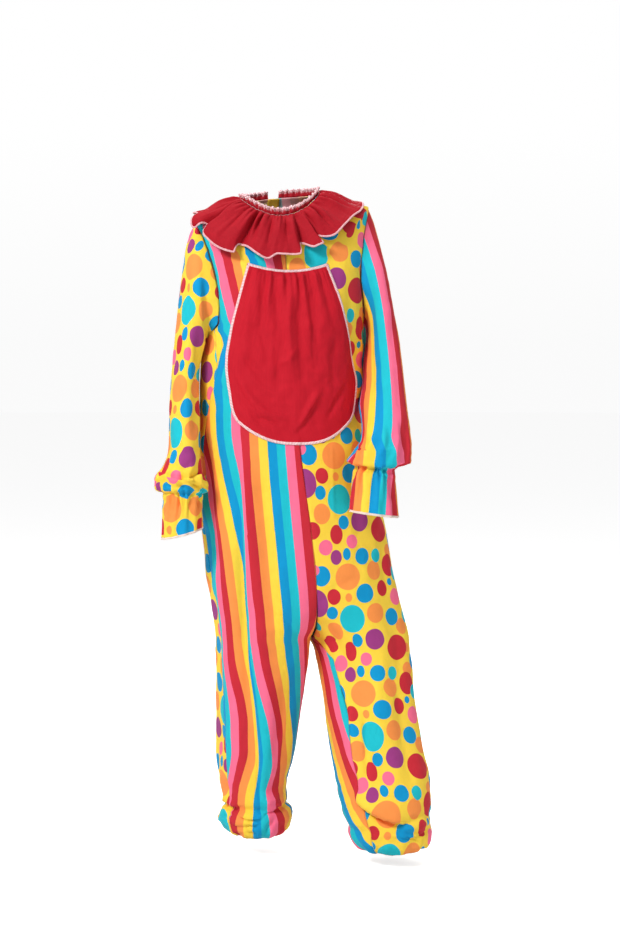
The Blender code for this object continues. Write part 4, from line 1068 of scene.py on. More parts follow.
def stripe_cloth(name, wrong_side=False):
    graph = Graph(name)
    mark = print_place(graph)
    drift = graph.math("SUBTRACT", graph.noise(mark, 14.0, 2.0), 0.5)
    across = graph.math("MULTIPLY_ADD", drift, 0.0012, graph.parts(mark)[0])
    turn = graph.math("FRACT", graph.math("MULTIPLY", across, METRE / (STRIPE_WIDTH * len(STRIPES))))
    ramp = graph.node("ValToRGB", {0: turn})
    ramp.color_ramp.interpolation = "CONSTANT"
    for k, colour in enumerate(STRIPES):
        start = k / len(STRIPES)
        stop = ramp.color_ramp.elements[k] if k < 2 else ramp.color_ramp.elements.new(start)
        stop.position, stop.color = start, colour
    return printed(graph, mark, ramp.outputs[0], wrong_side)


def spot_cloth(name, wrong_side=False):
    graph = Graph(name)
    mark = print_place(graph)
    wander = graph.node("TexNoise", {"Vector": mark, "Scale": 22.0, "Detail": 1.0}).outputs["Color"]
    wander = graph.vector("SUBTRACT", wander, (0.5, 0.5, 0.5))
    place = graph.vector("MULTIPLY_ADD", wander, (0.003, 0.003, 0), mark)
    half = (SPOT_REPEAT_WIDE / 2 / METRE, SPOT_REPEAT_HIGH / 2 / METRE, 1.0)
    colour = YELLOW
    for tint in (ORANGE, RED, BLUE, TEAL, PINK, PURPLE):
        cover = None
        for x, y, wide, high, of in SPOTS:
            if of is not tint:
                continue
            away = graph.vector("SUBTRACT", place, (x / METRE, y / METRE, 0))
            away = graph.vector("WRAP", away, half, tuple(-h for h in half))
            away = graph.vector("MULTIPLY", away, (METRE / wide, METRE / high, 0))
            inside = graph.math("SUBTRACT", 1.0, graph.vector("LENGTH", away))
            cover = inside if cover is None else graph.math("MAXIMUM", cover, inside)
        colour = graph.mix(graph.math("MULTIPLY_ADD", cover, 40.0, 0.5, clamp=True), colour, tint)
    return printed(graph, mark, colour, wrong_side)


def red_cloth(name, painted_shade_scale):
    graph = Graph(name)
    mark = print_place(graph)
    streak = graph.noise(graph.vector("MULTIPLY", mark, (260.0, 12.0, 1.0)), 1.0, 3.0)
    tints = linear(184, 20, 38), linear(200, 28, 44)
    # A scale below 1 darkens both tints, which paints shade into the cloth's colour. The collar's copy of the
    # patch's red is made this way.
    dark, pale = ((*(c * painted_shade_scale for c in tint[:3]), 1.0) for tint in tints)
    return weave(graph, mark, graph.mix(streak, dark, pale), strength=0.45, pitch=0.6, gloss=0.12)


def frill_cloth(name):
    """The heading's cloth: red, with pale overlock thread in loops over its upper part."""
    graph = Graph(name)
    mark = print_place(graph)
    fall = graph.math("MULTIPLY", graph.parts(mark)[0], METRE)
    loops = graph.noise(graph.vector("MULTIPLY", mark, (520.0, 300.0, 1.0)), 1.0, 3.0, 0.6)
    cover = graph.math("MULTIPLY_ADD", fall, -0.045, 0.05)
    cover = graph.math("ADD", cover, graph.math("SUBTRACT", loops, 0.36))
    cover = graph.math("MULTIPLY", cover, 9.0, clamp=True)
    colour = graph.mix(cover, linear(168, 18, 34), linear(250, 214, 220))
    return weave(graph, mark, colour, strength=0.5, pitch=0.6)


def thread_cloth(name, base, other, pitch, slant):
    """Overlock thread: loops that slant across the edge, with the cloth's colour between them."""
    graph = Graph(name)
    mark = print_place(graph)
    parts = graph.parts(mark)
    lean = graph.math("MULTIPLY_ADD", parts[0], slant, parts[1])
    uneven = graph.math("MULTIPLY_ADD", graph.noise(mark, 420.0, 2.0), 0.0010, lean)
    loop = graph.math("SINE", graph.math("MULTIPLY", uneven, 2 * math.pi * METRE / pitch))
    lift = graph.math("MULTIPLY_ADD", loop, 0.5, 0.5)
    patchy = graph.math("MULTIPLY", graph.noise(mark, 300.0, 2.0), 0.5)
    share = graph.math("MULTIPLY_ADD", lift, 0.7, patchy, clamp=True)
    return graph.finish(graph.mix(share, other, base), 0.7, (lift, 0.8, 0.0006), {"Sheen Weight": 0.1})


def enamel(name):
    graph = Graph(name)
    wear = graph.noise(graph.node("NewGeometry").outputs["Position"], 900.0, 3.0)
    colour = graph.mix(graph.math("MULTIPLY", wear, 0.35), linear(244, 196, 58), linear(206, 150, 40))
    return graph.finish(colour, graph.math("MULTIPLY_ADD", wear, 0.2, 0.22), (wear, 0.1, 0.0002))


def plain(name, colour, rough, scale=200.0):
    graph = Graph(name)
    cloud = graph.noise(graph.node("NewGeometry").outputs["Position"], scale, 3.0)
    dark = (*(0.6 * c for c in colour[:3]), 1.0)
    tint = graph.mix(graph.math("MULTIPLY", cloud, 0.3), colour, dark)
    return graph.finish(tint, rough, (cloud, 0.2, 0.0003))


# ---------------------------------------------------------------- flat patterns
FLATTEN_ROUNDS, LEAST_WEIGHT = 120, 0.02
PATTERN_ROWS, PATTERN_COLUMNS = 5, 4  # the pattern is worked out on every fifth row and fourth column


def flatten(points, start):
    """The flat pattern of a grid of points: places that keep its lengths as nearly as they can."""
    rows, columns = points.shape[:2]
    number = np.arange(rows * columns).reshape(rows, columns)
    a, b, c, d = (n.ravel() for n in (number[:-1, :-1], number[1:, :-1], number[1:, 1:], number[:-1, 1:]))
    three = np.concatenate([np.stack(t, axis=1) for t in ((a, b, c), (a, c, d), (a, b, d), (b, c, d))])
    corner = points.reshape(-1, 3)[three]
    one, two = corner[:, 1] - corner[:, 0], corner[:, 2] - corner[:, 0]
    ahead = unit(one)
    upward = unit(np.cross(np.cross(one, two), ahead))
    local = np.zeros((len(three), 3, 2))
    local[:, 1, 0] = np.linalg.norm(one, axis=1)
    local[:, 2] = np.stack([np.sum(two * ahead, axis=1), np.sum(two * upward, axis=1)], axis=1)
    uv = start.reshape(-1, 2).astype(float)
    a, b = uv[three[:, 1]] - uv[three[:, 0]], uv[three[:, 2]] - uv[three[:, 0]]
    local[:, 2, 1] *= np.sign(np.median(a[:, 0] * b[:, 1] - a[:, 1] * b[:, 0]))
    weights = []
    system = np.zeros((len(uv), len(uv)))
    for k in range(3):
        i, j = (k + 1) % 3, (k + 2) % 3
        u, v = corner[:, i] - corner[:, k], corner[:, j] - corner[:, k]
        weight = np.sum(u * v, axis=1) / np.maximum(np.linalg.norm(np.cross(u, v), axis=1), 1e-6)
        weights.append((i, j, np.maximum(weight, LEAST_WEIGHT)))
        for m, n, sign in ((i, i, 1), (j, j, 1), (i, j, -1), (j, i, -1)):
            np.add.at(system, (three[:, m], three[:, n]), sign * weights[-1][2])
    system[0, 0] += 1.0
    solve = np.linalg.inv(system)
    for _ in range(FLATTEN_ROUNDS):
        now = uv[three]
        lean = dot = 0.0
        for i, j, weight in weights:
            x, u = local[:, i] - local[:, j], now[:, i] - now[:, j]
            dot = dot + weight * np.sum(x * u, axis=1)
            lean = lean + weight * (x[:, 0] * u[:, 1] - x[:, 1] * u[:, 0])
        angle = np.arctan2(lean, dot)
        cosine, sine = np.cos(angle), np.sin(angle)
        right = np.zeros(uv.shape)
        right[0] = uv[0]
        for i, j, weight in weights:
            x = local[:, i] - local[:, j]
            turned = np.stack([cosine * x[:, 0] - sine * x[:, 1], sine * x[:, 0] + cosine * x[:, 1]], axis=1)
            np.add.at(right, three[:, i], turned * weight[:, None])
            np.add.at(right, three[:, j], -turned * weight[:, None])
        uv = solve @ right
    return uv.reshape(rows, columns, 2)


def refine(values, at, count):
    """Values given at some of a grid's rows, on smooth curves at all of its rows."""
    slope = np.gradient(values, at, axis=0)
    fine = np.arange(count)
    i = np.clip(np.searchsorted(at, fine, side="right") - 1, 0, len(at) - 2)
    step, share = at[i + 1] - at[i], (fine - at[i]) / (at[i + 1] - at[i])
    step, share = (v.reshape((-1,) + (1,) * (values.ndim - 1)) for v in (step, share))
    return hermite(share, step, values[i], values[i + 1], slope[i], slope[i + 1])


def pattern(points, column, first, last, level):
    """A grid's flat pattern: across and down, in millimetres. That column is upright between the first and
    last rows and at 0 across, and down is 0 at its level row."""
    tall, wide = points.shape[:2]
    rows = np.unique(np.append(np.arange(0, tall, PATTERN_ROWS), tall - 1))
    columns = np.unique(np.append(np.arange(0, wide, PATTERN_COLUMNS), wide - 1))
    coarse = points[rows][:, columns]
    flat = flatten(coarse, np.stack([lengths(coarse, 1), lengths(coarse, 0)], axis=-1))
    flat = refine(flat, rows.astype(float), tall)
    flat = refine(flat.transpose(1, 0, 2), columns.astype(float), wide).transpose(1, 0, 2)
    line = flat[first:last, column]
    middle = line.mean(axis=0)
    _, _, axes = np.linalg.svd(line - middle)
    way = axes[0] * np.sign(axes[0] @ (line[-1] - line[0]))
    flat = (flat - middle) @ np.array([[way[1], way[0]], [-way[0], way[1]]])
    flat[..., 1] -= flat[level, column, 1]
    return flat[..., 0], flat[..., 1]


# ---------------------------------------------------------------- body panels
SEAM_EASE = 11  # rows over which the columns away from the centre seam ease its turns
INSEAM_RUNS = (CROTCH_RUN + 6.0, 1040.0, 1060.0, 1120.0, 1170.0, 1260.0)
INSEAM_FORWARD = (0.0, 12.0, 14.0, 11.0, 7.0, 0.0)  # degrees, on the left leg
LEVEL_RUN, PATTERN_FIRST_RUN, PATTERN_LAST_RUN = 420.0, 200.0, 850.0
RIGHT_FRONT_PRINT, LEFT_FRONT_PRINT, BACK_PRINTS = 3.3, (-71.5, -879.0), {-1: 90.0, 1: 73.0}
BACK_CREASE_SCALE = 1.6
ANKLE_Z = -1190.0

# How far the stripes of the right front lean out at heights on the front elevation, and back in at the ankle,
# in millimetres.
LEAN_Y, LEAN = (230, 259, 300, 331, 345, 362, 380, 406, 440, 480), (0, 10, 18, 28, 42, 28, 13, 10, 4, 0)
ANKLE_LEAN_Y, ANKLE_LEAN = (755, 780, 810, 832), (0, 5, 13, 17)
LEAN_REACH = 110.0

# Places on the front elevation where the cloth swells out past its main form: x, y, reach across, reach down
# and how far, in millimetres.
SWELLS = {
    -1: ((202, 446, 6, 14, 3.5), (203, 503, 6, 18, 4.5)),
    1: ((430, 776, 26, 24, 9.0), (361, 352, 7, 20, 8.0), (360, 382, 8, 14, 8.0)),
}


def body_lift(side, points, normals):
    """(rise, tuck) of the body cloth's creases and crumples."""
    front = FRONT_LEFT_CREASES if side > 0 else FRONT_RIGHT_CREASES
    rise, tuck = creases(front, elevation(points), toward(normals, EYE_OUT))
    behind, _ = creases(BACK_CREASES, back_elevation(points), toward(normals, BEHIND))
    rise = rise + BACK_CREASE_SCALE * behind + swells(side, points)
    ankle = ease((ANKLE_Z - points[..., 2]) / 80.0)
    rise = 1.25 * rise + crumple(points, 120.0, 3.4, 3.0 + side, (1.6, 1.6, 0.7))
    rise = rise + crumple(points, 46.0, 1.3, 11.0, (1.3, 1.3, 0.8))
    rise = rise + ankle * crumple(points, 42.0, 3.2, 23.0 + side, (0.8, 0.8, 2.2))
    return rise, tuck


def swells(side, points):
    """How far the cloth swells out at the places of SWELLS."""
    across, down = np.moveaxis(elevation(points), -1, 0)
    return sum(out * hump(across - x, wide) * hump(down - y, high) for x, y, wide, high, out in SWELLS[side])


SEAM_DIP, SEAM_DIP_REACH = 0.9, 3.0
SEAM_PUCKER, SEAM_PUCKER_REACH, SEAM_PUCKER_LONG = 0.6, 11.0, 5.5


def seam_dip(points):
    """How the cloth dips and puckers beside the seams at both ends of each row."""
    across, down = lengths(points, 1), lengths(points, 0)
    dip = np.zeros(across.shape)
    for k, away in enumerate((across, across[:, -1:] - across)):
        edge = hump(away, SEAM_DIP_REACH)
        pucker = wobble(down / SEAM_PUCKER_LONG, 2.0 + 3 * k) * hump(away, SEAM_PUCKER_REACH)
        dip = dip - SEAM_DIP * edge + SEAM_PUCKER * pucker * (1 - edge)
    return dip


def panel_grid(side, fore):
    """(run, angle) over one panel, from its side seam to its centre seam."""
    hem = LEGS[side]["run"][-1]
    runs = np.linspace(0, hem, int(hem / ROW_STEP) + 1)
    wide = smooth(SECTIONS[side], "wide", runs)
    gap = SEAM_GAP if fore else np.where(runs <= ZIP_END_RUN + ROW_STEP, ZIP_OPENING, SEAM_GAP)
    start = side_angle(side, runs, "fore" if fore else "aft")
    end = inner_angle(side, runs) if fore else back_inner_angle(side, runs)
    way = 1 if fore else -1
    if side > 0:
        end = end - np.interp(runs, INSEAM_RUNS, INSEAM_FORWARD)
    start = start + way * np.degrees(SEAM_GAP / 2 / wide)
    end = end - way * np.degrees(gap / 2 / wide)
    share = np.linspace(0, 1, (FRONT_SPANS if fore else BACK_SPANS) + 1)
    # Only the columns near the centre seam follow its turn at the crotch.
    near = np.arange(-3 * SEAM_EASE, 3 * SEAM_EASE + 1)
    weight = np.exp(-0.5 * (near / SEAM_EASE) ** 2)
    rows = np.clip(np.arange(len(runs))[:, None] + near, 0, len(runs) - 1)
    eased = (end[rows] * weight).sum(axis=1) / weight.sum()
    angle = start[:, None] + (eased - start)[:, None] * share + (end - eased)[:, None] * share**12
    return np.broadcast_to(runs[:, None], angle.shape), angle


def stripe_drift(points, across):
    """How far the stripes of the right front lean out from the centre seam, in millimetres."""
    y = elevation(points)[..., 1]
    lean = np.interp(y, LEAN_Y, LEAN) * np.clip(across / LEAN_REACH, 0, 1)
    return lean - np.interp(y, ANKLE_LEAN_Y, ANKLE_LEAN)


LEAST_FILL = 0.32  # the least share of its flat size's rectangle that a sheet fills


def sheet_of(thing, points, thickness):
    """Gives a piece of cloth its thickness. Its cut size, from its longest lines across and down, is worked
    out but not used.
    """
    a, b = points[1:, 1:] - points[:-1, :-1], points[1:, :-1] - points[:-1, 1:]
    area = 0.5 * np.linalg.norm(np.cross(a, b), axis=-1).sum() / METRE**2
    wide, long = lengths(points, 1)[:, -1].max() / METRE, lengths(points, 0)[-1].max() / METRE
    wide = min(wide, area / LEAST_FILL / long)
    thicken(thing, thickness)


def hem_thread(name, points, closed, outward, thread):
    """Thread over the raw edge of a hem."""
    out = grid_normals(points, closed, outward)[-1]
    path = points[-1] * (1 - HEM_BACK) + points[-2] * HEM_BACK - out * HEM_SUNK
    size = CUFF_THREAD if closed else HEM_THREAD
    dress(tube(name + "_hem", path, size, out, thread, closed), "stripe_cloth")


def make_panel(name, side, fore, slot, materials, thread):
    run, angle = panel_grid(side, fore)
    base, normals = body_point(side, run, angle), body_normal(side, run, angle)
    rise, tuck = body_lift(side, base, normals)
    if not fore:
        # The cloth lies flat beside the zip.
        away = lengths(base, 1)
        beside_zip = hump(away[:, -1:] - away, ZIP_TAPE_WIDTH)
        rise = rise * (1 - 0.9 * beside_zip * ease((ZIP_END_RUN + 40.0 - run) / 40.0))
    lapped = laps(FRONT_LEFT_LAPS if side > 0 else FRONT_RIGHT_LAPS, base, normals)
    points = base + normals * (rise + seam_dip(base))[..., None] + lapped
    level, first, last = (
        int(np.abs(run[:, 0] - at).argmin()) for at in (LEVEL_RUN, PATTERN_FIRST_RUN, PATTERN_LAST_RUN)
    )
    across, down = pattern(base, -1, first, last, level)
    across, down = -across, down + LEVEL_RUN
    if not fore:
        mark = BACK_PRINTS[side] - across
    elif side < 0:
        mark = across + stripe_drift(points, across) + tuck + RIGHT_FRONT_PRINT
    else:
        mark, down = across + LEFT_FRONT_PRINT[0] - tuck, down + LEFT_FRONT_PRINT[1]
    outward = side * (1 if fore else -1)
    thing = grid_mesh(name + "_cloth", points, mark, down, False, outward, materials)
    sheet_of(thing, points, SHELL)
    dress(thing, slot, name)
    hem_thread(name, points, False, outward, thread)


# ---------------------------------------------------------------- sleeves
SLEEVE_PRINTS = {-1: (40.0, 60.0), 1: (47.0, 0.0)}  # the print's place across and down
SLEEVE_START = 0.8  # how far the cloth begins from the armhole
SLEEVE_BACK_SHARE = 0.8
WRIST, BELOW_CUFF, ABOVE_CUFF = (0.0, 55.0), (14.0, 34.0), (-44.0, 26.0)  # places past the cuff and reaches
WRIST_TURN, WRIST_TURN_ABOVE, WRIST_TURN_LONG = 20.0, 68.0, 45.0  # the left print's shift above its cuff


def sleeve_lift(side, run, angle, points, normals):
    """(rise, tuck) of a sleeve's creases, gathers and crumples."""
    rows = SLEEVE_LEFT_CREASES if side > 0 else SLEEVE_RIGHT_CREASES
    rise, tuck = creases(rows, elevation(points), toward(normals, EYE_OUT))
    # The back has the front's creases, mirrored about the sleeve's middle line.
    mirrored = points * np.array([1.0, -1.0, 1.0])
    mirrored = mirrored + np.array([0.0, 2.0, 0.0]) * points[:, :, 1:2].mean(1, keepdims=True)
    rise = rise + SLEEVE_BACK_SHARE * creases(rows, elevation(mirrored), toward(normals, BEHIND))[0]
    past = run - CUFF_RUN[side]
    wrist, below, above = (hump(past - at, reach) for at, reach in (WRIST, BELOW_CUFF, ABOVE_CUFF))
    a = np.radians(angle)
    uneven = 1.0 + 0.45 * wobble(5 * a, 9.0)
    rise = rise + below * uneven * (9.0 * np.abs(np.sin(8 * a + 1.6 * wobble(2 * a, 2.0))) - 3.0)
    rise = rise + above * uneven * 3.6 * np.sin(12 * a + 2.0 * wobble(2 * a, 5.0))
    rise = rise + crumple(points, 80.0, 1.8, 31.0 + side, (1.6, 1.6, 0.7)) + crumple(points, 34.0, 0.9, 5.0)
    rise = rise + wrist * crumple(points, 30.0, 2.4, 17.0 + side, (0.7, 0.7, 1.8))
    pucker = 0.9 * hump(run, 16.0) * wobble(a * 16, 3.0)
    return rise * ease(run / 40.0) + pucker * ease(run / 6.0) - 0.7 * hump(run, 3.0), tuck


def make_sleeve(name, side, slot, materials, thread):
    end = (LEFT_SLEEVE if side > 0 else RIGHT_SLEEVE)["run"][-1]
    runs = np.concatenate([[SLEEVE_START], np.linspace(0, end, int(end / ROW_STEP) + 1)[1:]])
    turn = -180.0 + np.arange(SLEEVE_SPANS) * 360.0 / SLEEVE_SPANS
    angle = np.broadcast_to(turn % 360.0, (len(runs), SLEEVE_SPANS))
    run = np.broadcast_to(runs[:, None], angle.shape)
    base = sleeve_point(side, run, angle, armhole_rim(side, angle))
    normals = grid_normals(base, True, side)
    rise, tuck = sleeve_lift(side, run, angle, base, normals)
    lapped = laps(SLEEVE_LEFT_LAPS if side > 0 else SLEEVE_RIGHT_LAPS, base, normals)
    points = base + normals * rise[..., None] + lapped
    # The pattern is upright along the sleeve's front, from its head to above the wrist.
    front, head, wrist = SLEEVE_SPANS * 3 // 4, 10, int(CUFF_RUN[side] / ROW_STEP) - 12
    across, down = pattern(round_again(base), front, head, wrist, head)
    print_across, print_down = SLEEVE_PRINTS[side]
    mark = across + print_across + side * round_again(tuck)
    if side > 0:
        past = runs[:, None] - CUFF_RUN[side] + WRIST_TURN_ABOVE
        mark = mark + WRIST_TURN * ease(past / WRIST_TURN_LONG)
    thing = grid_mesh(name + "_cloth", points, mark, down + print_down, True, side, materials)
    sheet_of(thing, round_again(points), SHELL)
    dress(thing, slot, name)
    hem_thread(name, points, True, side, thread)


# ---------------------------------------------------------------- neck ruffle
def make_strip(name, points, material):
    """A gathered piece of the neck ruffle, with the streaks of its cloth along the strip."""
    thing = grid_mesh(name + "_cloth", points, lengths(points, 0), lengths(points, 1), False, -1, [material])
    sheet_of(thing, points, SHELL)
    dress(thing, "red_cloth", name)


def make_flounce(material, thread):
    turns = np.linspace(-180, 180, RUFFLE_SPANS + 1)
    down, turn = np.meshgrid(np.linspace(0, 1, RUFFLE_ROWS + 1), turns, indexing="ij")
    points = flounce_point(down, turn)
    normals = grid_normals(points, False, -1)
    a = np.radians(turn)
    gathers = 1 + np.sin(44 * a + 3.0 * wobble(6 * a, 1.0))
    gathers = gathers * (1.5 + 0.6 * wobble(9 * a, 7.0)) * hump(down, 0.42)
    lift = gathers * ease((down - 0.03) / 0.09) + crumple(points, 30.0, 0.9, 41.0) * ease(down / 0.2)
    points = points + normals * lift[..., None]
    make_strip("neck_flounce", points, material)
    edge, out = (np.concatenate([v[:0:-1, 0], v[-1], v[-2::-1, -1]]) for v in (points, normals))
    dress(tube("neck_flounce_edge", edge - out * RUFFLE_SUNK, FLOUNCE_THREAD, out, thread), "red_cloth")


def make_heading(material, thread):
    turns = np.linspace(-180, 180, HEADING_SPANS + 1)
    down, turn = np.meshgrid(np.linspace(0, 1, HEADING_ROWS + 1), turns, indexing="ij")
    points = heading_point(down, turn)
    make_strip("neck_heading", points, material)
    out = grid_normals(points, False, -1)[0]
    dress(tube("neck_heading_edge", points[0] - out * RUFFLE_SUNK, HEADING_THREAD, out, thread), "red_cloth")


def make_neck_stitching(material):
    turns = np.linspace(-STITCH_TURN, STITCH_TURN, STITCH_PLACES)
    line, lower = (flounce_point(np.full(STITCH_PLACES, down), turns) for down in STITCH_DOWN)
    out = unit(np.cross(lower - line, np.gradient(line, axis=0)))
    dress(stitches("neck_stitching", line + out * STITCH_LIFT, out, material), "red_cloth")


# ---------------------------------------------------------------- tummy patch
def patch_lift(down, across, points, normals):
    """How far the patch's own gathers, creases and crumples stand off the body, in millimetres."""
    fine = np.sin(across * 58 + 3 * wobble(across * 9, 1.0)) * hump(down, 0.10)
    broad = (1 + np.sin(across * 24 + 1.5 * wobble(across * 6, 4.0))) * hump(down, 0.28)
    own = creases(PATCH_CREASES, elevation(points), toward(normals, EYE_OUT))[0]
    own = 2.2 * own + crumple(points, 60.0, 3.6, 51.0) + crumple(points, 24.0, 1.7, 61.0)
    inside = (1 - across**4) * fade(down, 0.05, 0.12)
    return np.maximum(inside * (3.4 + 2.3 * fine + 4.2 * broad + own), -0.6)


def edge_of(grid, inset):
    """A grid's values on lines that far inside its edge, all round."""
    far = -1 - inset
    return np.concatenate([grid[inset, :-1], grid[:-1, far], grid[far, :0:-1], grid[:0:-1, inset]])


def make_patch(material, thread):
    # Rows and columns lie closer together towards the patch's lower edge and its sides.
    down = (1 - np.linspace(1, 0, PATCH_ROWS + 1) ** PATCH_CLOSER_DOWN)[:, None]
    across = np.sin(np.linspace(-1, 1, PATCH_COLUMNS + 1) * PATCH_CLOSER_ACROSS)[None]
    across = across / math.sin(PATCH_CLOSER_ACROSS)
    half, off = (smooth(PATCH, name, down, key="down") for name in ("half", "off"))
    top = PATCH_TOP_Z - PATCH_DIP * (1 - across**2)
    low = PATCH_LOW_Z + PATCH_CORNER_RISE * np.abs(across) ** PATCH_CORNER_BEND
    z = top + (low - top) * down
    side, run, angle = front_point(smooth(TORSO, "middle", run_at(z)) + off + half * across, z)
    points, normals = by_side(side, body_point, run, angle), by_side(side, body_normal, run, angle)
    lift = by_side(side, lambda of: body_lift(of, points, normals)[0]) + PATCH_LIFT + RUFFLE_CLOTH
    points = points + normals * (lift + patch_lift(down, across, points, normals))[..., None]
    wide, fall = lengths(points, 1), lengths(points, 0)
    thing = grid_mesh("tummy_patch_cloth", points, wide, fall, False, -1, [material])
    sheet_of(thing, points, SHELL)
    dress(thing, "red_cloth", "tummy_patch")
    edge, out = edge_of(points, 0), edge_of(grid_normals(points, False, -1), 0)
    path = edge + unit(edge_of(points, 2) - edge) * PATCH_BACK - out * HEM_SUNK
    dress(tube("tummy_patch_edge", path, PATCH_THREAD, out, thread, True), "red_cloth")


# ---------------------------------------------------------------- back zip
def make_zip(tape_material, tooth_material):
    runs = np.arange(0.0, ZIP_END_RUN + 1, TAPE_STEP)
    halves, outs = {}, {}
    for side in (-1, 1):
        wide = smooth(SECTIONS[side], "wide", runs)
        halves[side] = []
        for away in TAPE_COLUMNS:
            angle = back_inner_angle(side, runs) + np.degrees(away / wide)
            normal = body_normal(side, runs, angle)
            halves[side].append(body_point(side, runs, angle) - normal * (CLOTH + SEAM_GAP))
        outs[side] = body_normal(side, runs, back_inner_angle(side, runs) + 1.0)
    out = unit(outs[-1] + outs[1])
    right, left = halves[-1], halves[1]
    middle, across = (right[0] + left[0]) / 2, unit(left[0] - right[0])
    columns = [*reversed(right), middle - across * TAPE_MIDDLE, middle + across * TAPE_MIDDLE, *left]
    points = np.stack(columns, axis=1)
    wide, fall = lengths(points, 1), lengths(points, 0)
    thing = grid_mesh("back_zip_tape", points, wide, fall, False, 1, [tape_material])
    sheet_of(thing, points, ZIP_TAPE)
    dress(thing, "zip_tape", "back_zip")
    dress(zip_teeth("back_zip_teeth", middle, out, across, tooth_material), "zip_tape")


def zip_teeth(name, middle, out, across, material):
    """The closed chain along the middle of the tapes: blocks, in turn a little to each side."""
    distance = path_lengths(middle)
    face = middle + out * (CLOTH - TOOTH_HALF_HIGH)
    points, quads = [], []
    for k in range(int(distance[-1] / TOOTH_PITCH)):
        at = (k + 0.5) * TOOTH_PITCH
        up, side = (unit(path_point(v, distance, at)) for v in (out, across))
        along = np.cross(side, up)
        centre = path_point(face, distance, at) + side * (TOOTH_OFFSET if k % 2 else -TOOTH_OFFSET)
        first = len(points)
        for height, grow in TOOTH_RINGS:
            for a, b in ((-1, -1), (1, -1), (1, 1), (-1, 1)):
                corner = side * TOOTH_HALF_WIDE * a * grow + along * TOOTH_HALF_LONG * b * grow
                points.append(centre + corner + up * height)
        for ring in (first, first + 4):
            quads += [(ring + j, ring + (j + 1) % 4, ring + (j + 1) % 4 + 4, ring + j + 4) for j in range(4)]
        quads += [tuple(range(first + 8, first + 12)), tuple(range(first, first + 4))[::-1]]
    return new_mesh(name, points, quads, [material], smooth_shade=False)


# ---------------------------------------------------------------- scene
PANELS = (
    ("front_right", -1, True, "stripe_cloth"),
    ("front_left", 1, True, "dot_cloth"),
    ("back_right", -1, False, "dot_cloth"),
    ("back_left", 1, False, "stripe_cloth"),
)
SLEEVES = ("sleeve_right", -1, "dot_cloth"), ("sleeve_left", 1, "stripe_cloth")


def build():
    prints = {
        "stripe_cloth": [stripe_cloth("stripe_print"), stripe_cloth("stripe_print_wrong_side", True)],
        "dot_cloth": [spot_cloth("spot_print"), spot_cloth("spot_print_wrong_side", True)],
    }
    hem_white = thread_cloth("hem_thread", linear(252, 244, 238), linear(242, 198, 170), 1.6, 0.5)
    for name, side, fore, slot in PANELS:
        make_panel(name, side, fore, slot, prints[slot], hem_white)
    for name, side, slot in SLEEVES:
        make_sleeve(name, side, slot, prints[slot], hem_white)
    edge = thread_cloth("flounce_thread", linear(246, 206, 210), linear(190, 60, 78), 2.8, 0.5)
    # The collar is the patch's red cloth at 0.73 of its colour: painted shade for its folds.
    make_flounce(red_cloth("red_cotton_collar_painted_shade", 0.73), edge)
    edge = thread_cloth("heading_thread", linear(255, 236, 238), linear(196, 50, 70), 3.6, 0.4)
    make_heading(frill_cloth("heading_frill"), edge)
    make_neck_stitching(plain("stitch_thread", linear(248, 240, 238), 0.6))
    edge = thread_cloth("patch_thread", linear(255, 244, 244), linear(206, 78, 98), 3.2, 0.55)
    make_patch(red_cloth("red_cotton", 1.0), edge)
    tape = plain("zip_tape_weave", linear(238, 196, 66), 0.75, 900.0)
    make_zip(tape, plain("zip_teeth_nylon", linear(244, 206, 84), 0.35))
    metal = enamel("zip_pull_enamel")
    for name in ("zip_slider", "pull_tab"):
        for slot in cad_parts[name].material_slots:
            slot.link, slot.material = "OBJECT", metal


LIGHTS = (  # name, place, what it shines at, power and size
    ("key", (-3.1, -2.9, 2.2), (0.05, 0, -0.5), 185, 1.3),
    ("fill", (2.6, -3.0, 0.0), (0.05, 0, -0.7), 22, 2.4),
    ("top", (0.0, 0.4, 3.0), (0.0, 0, -0.6), 90, 4.0),
    ("back", (1.2, 3.6, 1.4), (0.05, 0, -0.6), 90, 2.2),
)
FLOOR_RADIUS, FLOOR_CORNERS, FLOOR_GAP = 30000.0, 64, 30.0
FLOOR_SHADE, FLOOR_ROUGHNESS, FLOOR_GLOW = (0.8, 0.8, 0.8, 1.0), 0.9, 0.7
BACKDROP_LOW, BACKDROP_WHITE = (0.96, 0.96, 0.96, 1.0), 0.1  # shade at the horizon, and where it is white
SKY_STRENGTH = 0.30


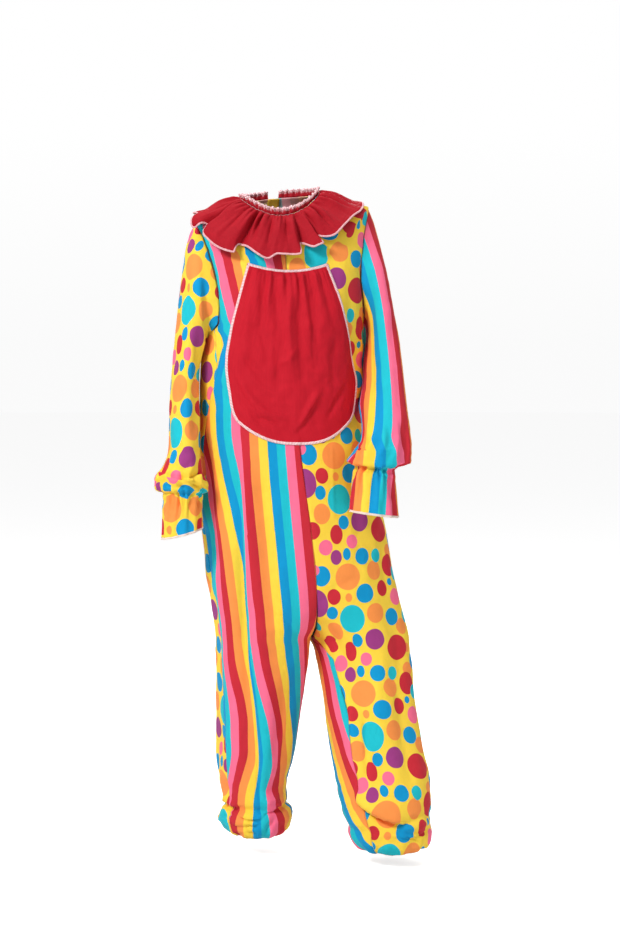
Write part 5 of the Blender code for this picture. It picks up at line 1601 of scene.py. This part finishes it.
def make_floor():
    low = CAD_BOX[0][2] * METRE - FLOOR_GAP
    turns = [k * 2 * math.pi / FLOOR_CORNERS for k in range(FLOOR_CORNERS)]
    ring = [(FLOOR_RADIUS * math.cos(a), FLOOR_RADIUS * math.sin(a), low) for a in turns]
    graph = Graph("studio_floor")
    ray = graph.node("LightPath").outputs["Is Camera Ray"]
    glow = {"Emission Color": WHITE, "Emission Strength": graph.math("MULTIPLY", ray, FLOOR_GLOW)}
    material = graph.finish(FLOOR_SHADE, FLOOR_ROUGHNESS, more=glow)
    faces = [tuple(range(FLOOR_CORNERS))]
    new_mesh("studio_floor", ring, faces, [material], smooth_shade=False)


def make_backdrop():
    """Soft white light from all round, and a white backdrop, a shade darker at the horizon."""
    graph = Graph("studio", "worlds", "Background")
    graph.put(graph.shader, {"Color": WHITE, "Strength": SKY_STRENGTH})
    height = graph.parts(graph.node("TexCoord").outputs["Generated"])[2]
    ramp = graph.node("ValToRGB", {0: height})
    low, high = ramp.color_ramp.elements
    low.color, high.color, high.position = BACKDROP_LOW, WHITE, BACKDROP_WHITE
    seen = graph.node("Background", {0: ramp.outputs[0]})
    ray = graph.node("LightPath").outputs["Is Camera Ray"]
    both = graph.node("MixShader", {0: ray, 1: graph.shader.outputs[0], 2: seen.outputs[0]})
    graph.put(graph.tree.nodes["World Output"], {0: both.outputs[0]})
    bpy.context.scene.world = graph.owner


def set_lights():
    for name, place, target, power, size in LIGHTS:
        lamp = bpy.data.lights.new(name, "AREA")
        lamp.energy, lamp.shape, lamp.size = power, "DISK", size
        thing = link(name, lamp)
        thing.location = place
        thing.rotation_euler = (Vector(target) - Vector(place)).to_track_quat("-Z", "Y").to_euler()


def set_camera():
    camera = bpy.data.cameras.new("camera")
    camera.sensor_fit, camera.sensor_height = "VERTICAL", 36.0
    camera.angle = 2 * math.atan(ELEVATION_MIDDLE[1] * STEP / EYE_FAR)
    thing = link("camera", camera)
    away = Vector(EYE_OUT.tolist())
    thing.location = Vector((EYE_AIM / METRE).tolist()) + away * EYE_FAR / METRE
    thing.rotation_euler = (-away).to_track_quat("-Z", "Y").to_euler()
    bpy.context.scene.camera = thing


set_camera()
build()
make_floor()
make_backdrop()
set_lights()
bpy.context.scene.view_settings.view_transform = "Standard"
bpy.context.view_layer.update()
